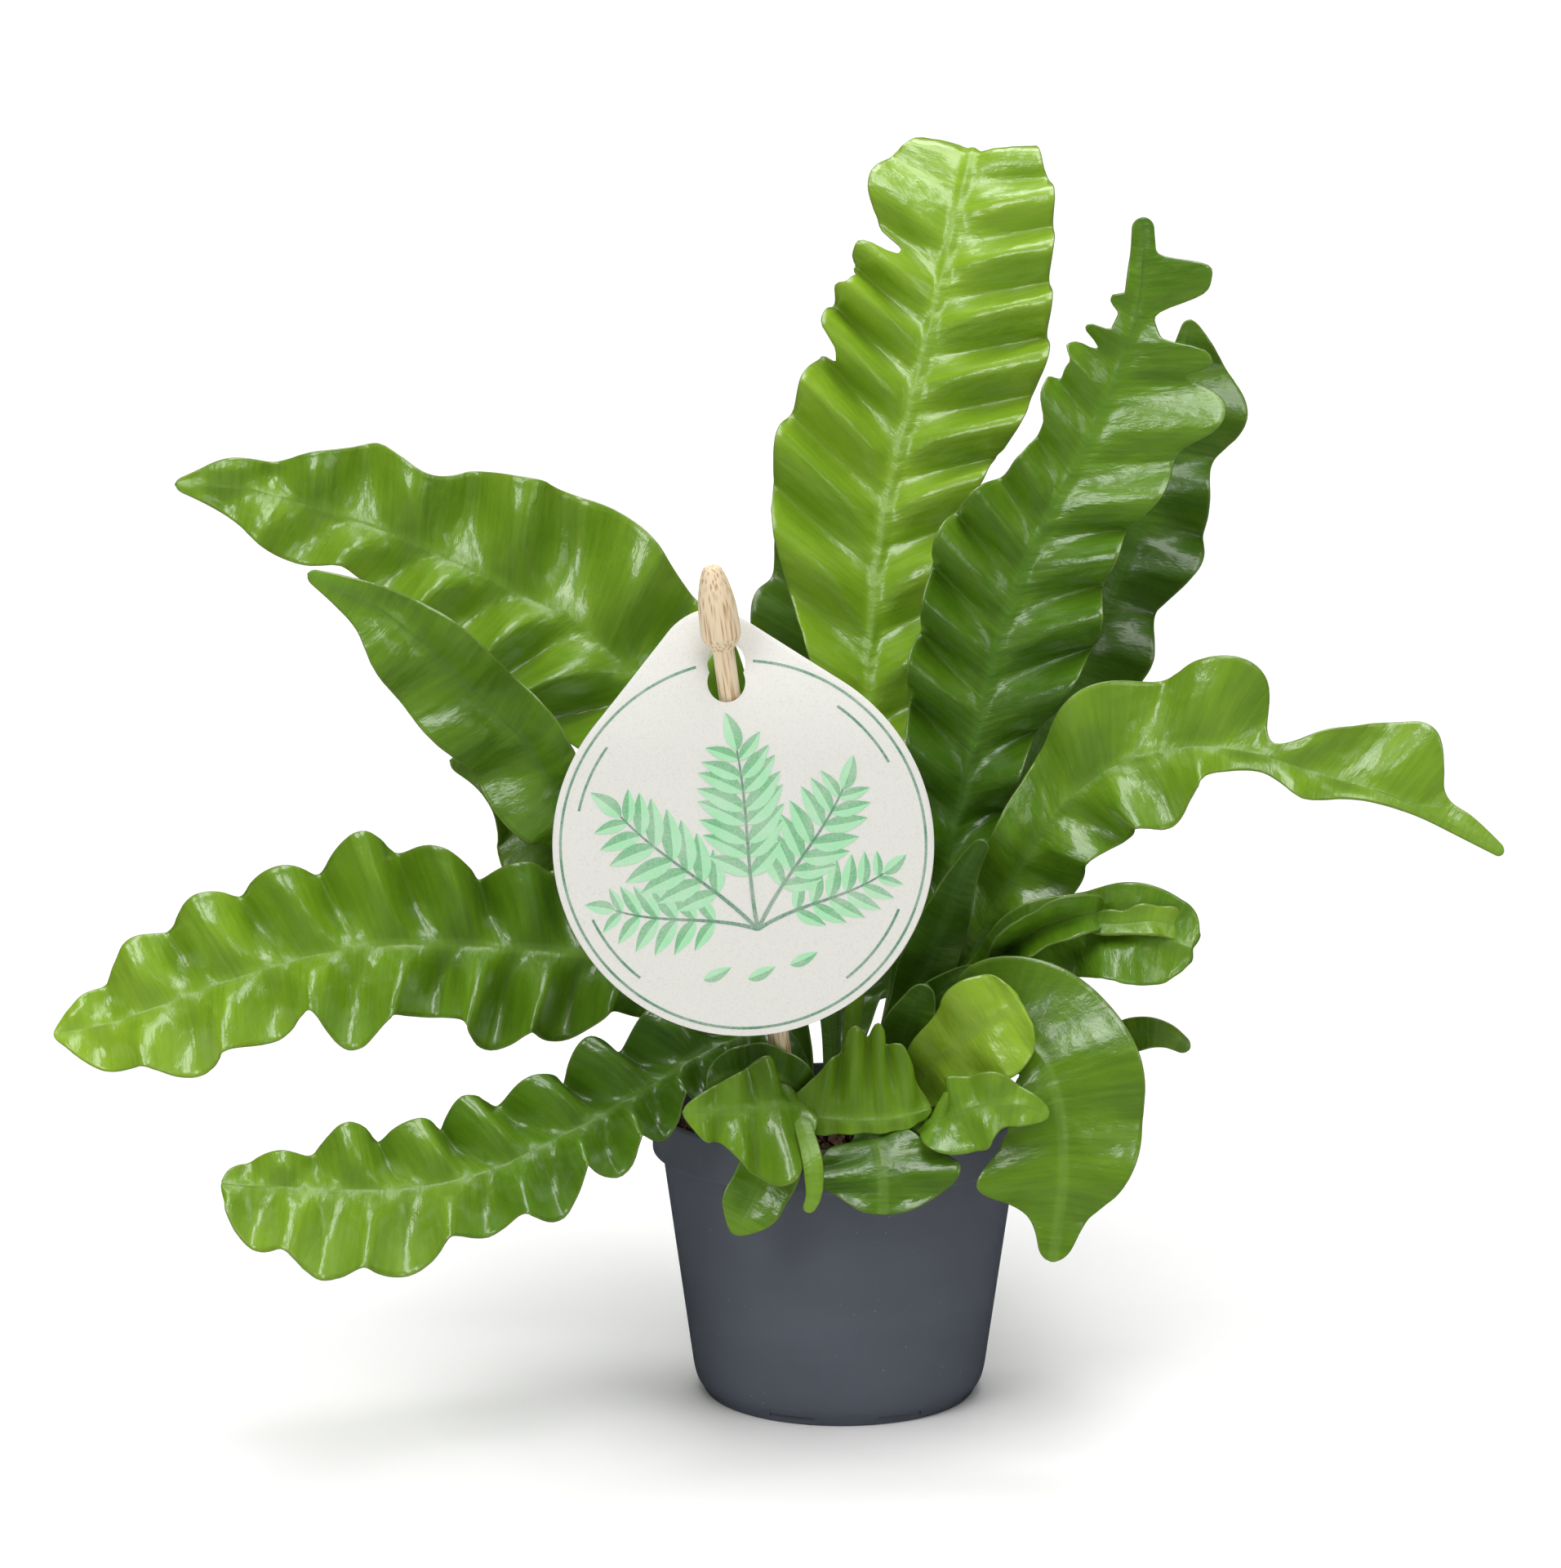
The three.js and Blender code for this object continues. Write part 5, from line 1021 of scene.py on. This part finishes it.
def scaleTree():
    # narrow pointed scales that lean out and up from the dome
    tree, sizes = newTree("crown_scales", {"Scale Length": ("Float", 0.008),
                          "Scale Width": ("Float", 0.0016), "Density": ("Float", 200000.0),
                          "Lowest": ("Float", 0.08), "Seed": ("Int", 1), "Material": ("Material", None)})
    place = addNode(tree, "GeometryNodeInputPosition")
    level = addNode(tree, "ShaderNodeSeparateXYZ", {0: place})
    isTop = addNode(tree, "FunctionNodeCompare", {0: (level, 2), 1: (sizes, "Lowest")},
                    operation="GREATER_THAN")
    scatter = addNode(tree, "GeometryNodeDistributePointsOnFaces", {"Mesh": (sizes, "Geometry"),
                      "Selection": isTop, "Density": (sizes, "Density"), "Seed": (sizes, "Seed")})
    cone = addNode(tree, "GeometryNodeMeshCone", {"Vertices": 4, "Side Segments": 2, "Fill Segments": 1,
                   "Radius Top": crown["scaleTip"] * mm, "Radius Bottom": (sizes, "Scale Width"),
                   "Depth": (sizes, "Scale Length")})
    flat = addNode(tree, "GeometryNodeTransform", {"Geometry": cone,
                   "Scale": (1, crown["flatness"], 1)})
    tilt = addNode(tree, "FunctionNodeRandomValue", {0: [-most for most in crown["tilt"]],
                   1: crown["tilt"], "Seed": (sizes, "Seed")}, data_type="FLOAT_VECTOR")
    size = addNode(tree, "FunctionNodeRandomValue", {2: crown["leastScale"], 3: crown["mostScale"],
                   "Seed": (sizes, "Seed")}, data_type="FLOAT")
    spread = addNode(tree, "GeometryNodeInstanceOnPoints", {"Points": scatter, "Instance": flat,
                     "Rotation": (tilt, 0), "Scale": (size, 1)})
    joined = addNode(tree, "GeometryNodeJoinGeometry")
    tree.links.new(sizes.outputs["Geometry"], joined.inputs[0])
    tree.links.new(spread.outputs[0], joined.inputs[0])
    closeTree(tree, joined, (sizes, "Material"))
    return tree


def buildCrown():
    r, base = crown["radius"], crown["base"]
    outline = rounded([[0, base], [r, base], [r, base + 5.5], [r - 3, base + 8.6], [r - 11, base + 12],
                       [0, base + 13.6]], {2: 2, 3: 3, 4: 6})
    points, faces = revolve(outline, crown["sides"])
    piece = newPiece("crown_stock", points, faces)
    grow(piece, scaleTree(), {"Scale Length": crown["scaleLength"] * mm,
         "Scale Width": crown["scaleWidth"] * mm / 2, "Density": float(crown["density"]),
         "Lowest": (base + 4) * mm, "Seed": 23, "Material": crownMaterial()})
    fit(piece, ["crown"])


buildCrown()
print("crown covered")

# Bamboo, turned and bare: pale straw with darker vessel bundles that run lengthways and show
# as fine dashes where the turned head cuts across them.
pin = {"foot": (-10.8, -36.6, 60), "atCard": (-35, -78, 243), "radius": 3.25, "headRadius": 6,
       "headLength": 26, "headGap": 7, "sides": 72, "straw": "#dcc39c", "vessel": "#ab7f4c",
       "pale": "#ecdcc0", "bundle": 0.75, "bundleLength": 14, "bundleCore": 0.18, "bundleEdge": 0.5,
       "bundleShare": 0.8, "tintWidth": 3.85, "tintLength": 33.3, "bump": 0.08, "rough": 0.55}


def bambooMaterial():
    material, tree = newMaterial("bamboo_turned")
    place = addNode(tree, "ShaderNodeAttribute", attribute_name="grainPlace")
    bundles = addNode(tree, "ShaderNodeVectorMath", {0: (place, "Vector"),
                      1: cellScale(pin["bundle"], pin["bundle"], pin["bundleLength"])},
                      operation="MULTIPLY")
    cells = addNode(tree, "ShaderNodeTexVoronoi", {"Vector": bundles, "Scale": 1.0}, feature="F1")
    core = addNode(tree, "ShaderNodeMapRange", {0: (cells, "Distance"), 1: pin["bundleCore"],
                   2: pin["bundleEdge"], 3: pin["bundleShare"], 4: 0.0})
    broad = addNode(tree, "ShaderNodeVectorMath", {0: (place, "Vector"),
                    1: cellScale(pin["tintWidth"], pin["tintWidth"], pin["tintLength"])},
                    operation="MULTIPLY")
    tint = addNode(tree, "ShaderNodeTexNoise", {"Vector": broad, "Scale": 1.0, "Detail": 2.0})
    ground = addNode(tree, "ShaderNodeMix", {0: tint, 6: colour(pin["straw"]), 7: colour(pin["pale"])},
                     data_type="RGBA")
    grained = addNode(tree, "ShaderNodeMix", {0: core, 6: (ground, 2), 7: colour(pin["vessel"])},
                      data_type="RGBA")
    bump = addNode(tree, "ShaderNodeBump", {"Height": core, "Strength": 0.6,
                   "Distance": pin["bump"] * mm})
    body = addNode(tree, "ShaderNodeBsdfPrincipled", {"Base Color": (grained, 2),
                   "Roughness": pin["rough"], "Normal": bump, "Specular IOR Level": 0.4})
    addNode(tree, "ShaderNodeOutputMaterial", {0: body})
    return material


def buildPin():
    foot, held = np.array(pin["foot"]), np.array(pin["atCard"])
    axis = unit(held - foot)
    s, r, l = np.linalg.norm(held - foot) + pin["headGap"], pin["headRadius"], pin["headLength"]
    corners = [[0, 0], [1, 0], [pin["radius"], 9], [pin["radius"], s], [r - 0.4, s + 3.6], [r, s + 4.6],
               [r - 0.3, s + l * 0.55], [r - 1.6, s + l * 0.8], [r - 3.2, s + l - 0.8], [r - 4.2, s + l],
               [0, s + l]]
    points, faces = revolve(rounded(corners, {2: 3, 3: 0.4, 4: 0.5, 5: 1.2, 6: 4, 7: 3, 8: 0.8, 9: 0.6}),
                            pin["sides"])
    side = unit(np.cross([0.0, 1.0, 0.0], axis))
    turned = points[:, :1] * side + points[:, 1:2] * np.cross(axis, side) + points[:, 2:] * axis + foot
    piece = newPiece("pin_turned", turned, faces, bambooMaterial())
    setAttribute(piece.data, "grainPlace", "FLOAT_VECTOR", points * mm)
    piece.data.set_sharp_from_angle(angle=math.radians(40))
    fit(piece, ["bamboo_pin"])


buildPin()
print("pin turned")

# Coated board, die cut: warm pale grey with faint fibre flecks, the print sits thin on top. The
# fibre and the mottle of the ink are drawn coarser than they are, so that they show.
card = {"centre": (-30, -86, 192), "radius": 56.4, "turn": 10, "lean": 0.079, "bend": 0.006,
        "bendStart": 25, "thickness": 0.6, "sides": 288, "rings": 40, "side": 41, "peak": 1.23,
        "holeAt": (-35, -90, 240.6), "holeRadius": 5.6, "holeEnds": (-2, 3), "holeLean": 0.12,
        "board": "#dbdad4", "fleck": "#ceccc5", "fibreSize": 0.667, "bump": 0.05, "rough": 0.6}
# The print: a thin ring with a gap at the hole, four short arcs inside it, five arching sprigs
# (heading, length, bow, pairs of leaflets) and a row of plain leaves. Each ink is a thin film.
cardPrint = {"ring": (54.0, -265, 77), "arcRadius": 49.6, "lineWidth": 0.8,
             "arcs": ((20, 46), (134, 158), (-62, -32), (196, 222)), "sprigFoot": (0, -25),
             "sprigs": ((153, 42, 7, 6), (24, 40, -7, 6), (124, 52, 6, 7), (56, 48, -6, 7),
                        (91, 53, -4, 8)), "leafletAngle": 54,
             "leafRow": ((-14, -37), (-1, -39), (12, -37)), "leafSize": (9, 1.8),
             "filmFoot": 0.004, "filmHeight": 0.03, "mottleSize": 0.714, "washSize": 8.33,
             "boardShare": 0.35, "rough": 0.55, "dark": "#568c6c", "mid": "#74b583", "pale": "#9fdcab"}


def boardMaterial():
    material, tree = newMaterial("coated_board")
    place = addNode(tree, "ShaderNodeTexCoord")
    fibrePlace = addNode(tree, "ShaderNodeMapping", {"Vector": (place, "Object"),
                         "Scale": cellScale(card["fibreSize"])})
    fibre = addNode(tree, "ShaderNodeTexNoise", {"Vector": fibrePlace, "Scale": 1.0, "Detail": 4.0,
                    "Roughness": 0.65})
    ramp = addNode(tree, "ShaderNodeValToRGB", {0: fibre})
    ramp.color_ramp.elements[0].color = colour(card["fleck"])
    ramp.color_ramp.elements[0].position = 0.25
    ramp.color_ramp.elements[1].color = colour(card["board"])
    ramp.color_ramp.elements[1].position = 0.5
    bump = addNode(tree, "ShaderNodeBump", {"Height": fibre, "Strength": 0.5,
                   "Distance": card["bump"] * mm})
    body = addNode(tree, "ShaderNodeBsdfPrincipled", {"Base Color": ramp, "Roughness": card["rough"],
                   "Normal": bump, "Specular IOR Level": 0.4})
    addNode(tree, "ShaderNodeOutputMaterial", {0: body})
    return material


def inkMaterial(name, code):
    # offset ink on board: flat colour with the fine mottle of the fibre below it
    material, tree = newMaterial(name)
    place = addNode(tree, "ShaderNodeTexCoord")
    mottlePlace = addNode(tree, "ShaderNodeMapping", {"Vector": (place, "Object"),
                          "Scale": cellScale(cardPrint["mottleSize"])})
    mottle = addNode(tree, "ShaderNodeTexNoise", {"Vector": mottlePlace, "Scale": 1.0, "Detail": 3.0})
    wash = addNode(tree, "ShaderNodeMapping", {"Vector": (place, "Object"),
                   "Scale": cellScale(cardPrint["washSize"])})
    uneven = addNode(tree, "ShaderNodeTexNoise", {"Vector": wash, "Scale": 1.0, "Detail": 1.0})
    both = addNode(tree, "ShaderNodeMath", {0: mottle, 1: uneven}, operation="ADD")
    share = addNode(tree, "ShaderNodeMapRange", {0: both, 1: 0.75, 2: 1.25, 3: 0.0,
                    4: cardPrint["boardShare"]})
    tint = addNode(tree, "ShaderNodeMix", {0: share, 6: colour(code), 7: colour(card["board"])},
                   data_type="RGBA")
    body = addNode(tree, "ShaderNodeBsdfPrincipled", {"Base Color": (tint, 2),
                   "Roughness": cardPrint["rough"], "Specular IOR Level": 0.4})
    addNode(tree, "ShaderNodeOutputMaterial", {0: body})
    return material


def cardPlace(flat, depth):
    # a place on the card from its own flat x, y: turned, leant and bent back at the peak
    turn = math.radians(card["turn"])
    a = flat[:, 0] * math.cos(turn) - flat[:, 1] * math.sin(turn)
    b = flat[:, 0] * math.sin(turn) + flat[:, 1] * math.cos(turn)
    bent = card["bend"] * np.maximum(0, b - card["bendStart"]) ** 2
    x, y, z = card["centre"]
    return np.stack([x + a, y + card["lean"] * b + bent + depth, z + b], 1)


def cardOutline(angles):
    # a round foot with straight flanks up to a blunt peak, the corners evened
    r, side = card["radius"], math.radians(card["side"])
    rise = np.abs(np.pi / 2 - angles)
    straight = r / np.cos(np.minimum(side - rise, 1.5))
    blunt = r * card["peak"] / np.cos(np.minimum(rise, 1.4))
    reach = np.minimum(np.minimum(straight, blunt), (straight + blunt) / 2 - 0.6)
    reach = np.where(rise >= side, r, reach)
    padded = np.r_[reach[-4:], reach, reach[:4]]
    soft = np.convolve(padded, np.ones(9) / 9, "same")[4:-4]
    return np.stack([np.cos(angles), np.sin(angles)], 1) * np.minimum(soft, reach)[:, None]


def buildCard():
    # rings of points from the middle of the front, over the edge, to the middle of the back
    n, thick = card["sides"], card["thickness"]
    edge = cardOutline(2 * np.pi * np.arange(n) / n)
    shares = np.r_[np.linspace(0, 1, card["rings"])[1:-1], 1 - 0.25 / card["radius"]]
    rows = [edge * share for share in shares]
    points = [cardPlace(np.zeros((1, 2)), 0.0)] + [cardPlace(row, 0.0) for row in rows]
    points += [cardPlace(edge, thick / 2)] + [cardPlace(row, thick) for row in rows[::-1]]
    points += [cardPlace(np.zeros((1, 2)), thick)]
    faces, k = [], np.arange(n)
    j = np.roll(k, -1)
    loops = 2 * len(rows) + 1
    faces.append(np.stack([0 * k, 1 + k, 1 + j, 0 * k - 1], 1))
    for m in range(loops - 1):
        low, high = 1 + m * n, 1 + (m + 1) * n
        faces.append(np.stack([low + k, high + k, high + j, low + j], 1))
    last = 1 + (loops - 1) * n
    faces.append(np.stack([last + k, 0 * k + last + n, last + j, 0 * k - 1], 1))
    piece = newPiece("card_board", np.vstack(points), np.vstack(faces), boardMaterial())
    # the hole is drawn out, as two punches that overlap
    axis, across = unit(np.array([0, 1, card["holeLean"]])), np.array([1.0, 0, 0])
    x, y, z = card["holeAt"]
    punches = []
    for rise in card["holeEnds"]:
        tube, ends = revolve([[0, 0], [card["holeRadius"], 0], [card["holeRadius"], 24], [0, 24]], 48)
        tube = tube[:, :1] * across + tube[:, 1:2] * np.cross(axis, across) + tube[:, 2:] * axis
        punches.append(newPiece("punch", tube + [x, y, z + rise], ends))
    cutWith(piece, punches)
    piece.data.set_sharp_from_angle(angle=math.radians(50))
    fit(piece, ["hang_card"])


def leaflet(root, angle, length, width, steps=14):
    # pointed oval as two strips beside its midrib
    s = np.linspace(0, 1, steps + 1)
    swell = width * np.sin(np.pi * s ** 0.8) ** 0.9
    curve = 0.12 * length * s * s
    c, q = math.cos(angle), math.sin(angle)
    line = np.stack([s * length, curve], 1)
    left, right = line + np.stack([0 * s, swell], 1), line - np.stack([0 * s, swell], 1)
    turned = lambda p: np.stack([root[0] + p[:, 0] * c - p[:, 1] * q,
                                 root[1] + p[:, 0] * q + p[:, 1] * c], 1)
    return turned(left), turned(line), turned(right)


def strip(first, second, start, height):
    # closed film between two flat edges that run the same way
    n, foot = len(first), cardPrint["filmFoot"]
    points = np.vstack([cardPlace(first, -height), cardPlace(second, -height),
                        cardPlace(first, -foot), cardPlace(second, -foot)])
    k = np.arange(n - 1)
    a, b, c, d = k, k + n, k + n + 1, k + 1
    faces = [np.stack([a, b, c, d], 1), np.stack([a, d, c, b], 1) + 2 * n,
             np.stack([a, d, d + 2 * n, a + 2 * n], 1), np.stack([c, b, b + 2 * n, c + 2 * n], 1)]
    faces.append(np.array([[0, 2 * n, 3 * n, n], [n - 1, 2 * n - 1, 4 * n - 1, 3 * n - 1]]))
    return points, np.vstack(faces) + start


def buildPrint():
    # films that overlap lie at different heights
    inks = [inkMaterial("ink_green_" + key, cardPrint[key]) for key in ("dark", "mid", "pale")]
    points, faces, looks, start = [], [], [], 0

    def lay(first, second, ink, layer=0):
        nonlocal start
        p, f = strip(first, second, start, cardPrint["filmHeight"] * (1 + 0.5 * layer))
        points.append(p)
        faces.append(f)
        looks.append(np.full(len(f), ink))
        start += len(p)

    def arc(radius, fromDegrees, toDegrees):
        a = np.radians(np.arange(fromDegrees, toDegrees + 0.1, 2.0))
        ray, half = np.stack([np.cos(a), np.sin(a)], 1), cardPrint["lineWidth"] / 2
        lay(ray * (radius - half), ray * (radius + half), 0)

    arc(*cardPrint["ring"])
    for first, last in cardPrint["arcs"]:
        arc(cardPrint["arcRadius"], first, last)

    def leaf(root, angle, length, width, hand=1, layer=0):
        left, line, right = leaflet(root, angle, length, width)
        lay(left, line, 2 if hand > 0 else 1, layer)
        lay(line, right, 1 if hand > 0 else 2, layer)

    # arching sprigs from one foot, each a stem with paired leaflets and one at the end
    s = np.linspace(0, 1, 40)
    for layer, (heading, length, bow, pairs) in enumerate(cardPrint["sprigs"]):
        turn = math.radians(heading)
        way = np.array([math.cos(turn), math.sin(turn)])
        aside = np.array([-math.sin(turn), math.cos(turn)])
        arched = (bow * np.sin(np.pi * s / 2) ** 2)[:, None] * aside
        stem = cardPrint["sprigFoot"] + s[:, None] * length * way + arched
        lean = unit(np.gradient(stem, axis=0))
        half = np.stack([-lean[:, 1], lean[:, 0]], 1) * lerp(0.6, 0.25, s)[:, None]
        lay(stem + half, stem - half, 0, 2 * layer + 1.5)
        for k in range(pairs):
            at = round(12 + 25 * k / (pairs - 1))
            angle = math.atan2(lean[at][1], lean[at][0])
            size = 0.3 * length * math.sin(math.pi * (0.3 + 0.5 * k / (pairs - 1))) ** 0.8
            for hand in (1, -1):
                leaf(stem[at], angle + hand * math.radians(cardPrint["leafletAngle"]), size,
                     size * 0.19, hand, 2 * layer + 0.15 * k + 0.05 * hand)
        leaf(stem[-1], math.atan2(lean[-1][1], lean[-1][0]), 0.22 * length, 0.05 * length, 1, 2 * layer)
    # a row of plain leaves below
    leafLength, leafWidth = cardPrint["leafSize"]
    for x, y in cardPrint["leafRow"]:
        leaf(np.array([x - leafLength / 2, y]), math.radians(8), leafLength, leafWidth)
    piece = newPiece("card_print", np.vstack(points), np.vstack(faces))
    for ink in inks:
        piece.data.materials.append(ink)
    piece.data.polygons.foreach_set("material_index", np.concatenate(looks).astype(np.int32))
    piece.data.shade_flat()
    fit(piece, [])  # lies on the card and takes no node's place


buildCard()
buildPrint()
print("card cut and printed")


# Studio, in metres: a seamless pale sweep, soft boxes above and to both sides, and a large one
# that lights the sweep behind the plant. The paper's tooth and its bump are millimetres.
studio = {"floorNear": -2.6, "floorFar": 1.3, "bendRadius": 0.9, "wallTop": 3.4, "halfWidth": 3.2,
          "paper": "#f7f7f6", "rough": 0.9, "tooth": 2.5, "toothBump": 0.1, "world": 0.18}
lamps = {"key": {"at": (-0.95, -1.1, 1.15), "to": (0, 0, 0.2), "size": 0.7, "power": 10},
         "brow": {"at": (0.1, -0.95, 1.55), "to": (0, 0, 0.2), "size": 0.7, "power": 7.6},
         "top": {"at": (0.15, -0.25, 1.5), "to": (0, 0, 0.2), "size": 0.8, "power": 9},
         "fill": {"at": (1.3, -1.0, 0.75), "to": (0, 0, 0.2), "size": 0.7, "power": 3.2},
         "back": {"at": (0.0, 1.2, 2.6), "to": (0, 2.2, 0.9), "size": 1.6, "power": 46}}


def buildStudio():
    s = np.linspace(0, np.pi / 2, 20)
    near, far, r = studio["floorNear"], studio["floorFar"], studio["bendRadius"]
    profile = [(near, 0.0)] + [(far + r * math.sin(a), r - r * math.cos(a)) for a in s]
    profile.append((far + r, studio["wallTop"]))
    points = np.array([(x, y, z) for y, z in profile
                       for x in (-studio["halfWidth"], studio["halfWidth"])]) / mm
    k = 2 * np.arange(len(profile) - 1)
    floor = newPiece("floor", points, np.stack([k, k + 1, k + 3, k + 2], 1))
    # roll paper: matt and near white with a faint tooth, so shadows fall soft and grey
    material, tree = newMaterial("paper_sweep")
    place = addNode(tree, "ShaderNodeTexCoord")
    tooth = addNode(tree, "ShaderNodeTexNoise", {"Vector": (place, "Object"),
                    "Scale": cellScale(studio["tooth"])[0]})
    bump = addNode(tree, "ShaderNodeBump", {"Height": tooth, "Strength": 0.1,
                   "Distance": studio["toothBump"] * mm})
    body = addNode(tree, "ShaderNodeBsdfPrincipled", {"Base Color": colour(studio["paper"]),
                   "Roughness": studio["rough"], "Normal": bump, "Specular IOR Level": 0.1})
    addNode(tree, "ShaderNodeOutputMaterial", {0: body})
    floor.data.materials.append(material)
    # glossy leaves mirror the soft boxes alone, as in a dark studio
    floor.visible_glossy = False
    scene.world = bpy.data.worlds.new("studio")
    scene.world.cycles_visibility.glossy = False
    scene.world.use_nodes = True
    ground = scene.world.node_tree.nodes["Background"]
    ground.inputs["Color"].default_value = (1, 1, 1, 1)
    ground.inputs["Strength"].default_value = studio["world"]
    for name, lamp in lamps.items():
        light = bpy.data.lights.new(name, "AREA")
        light.shape, light.size, light.energy = "SQUARE", lamp["size"], lamp["power"]
        holder = bpy.data.objects.new(name, light)
        holder.location = lamp["at"]
        aim = unit(np.array(lamp["to"]) - np.array(lamp["at"]))
        holder.rotation_euler = (math.acos(-aim[2]), 0, math.atan2(-aim[0], aim[1]))
        scene.collection.objects.link(holder)
    scene.view_settings.view_transform = "Standard"


buildStudio()
print("studio lit")
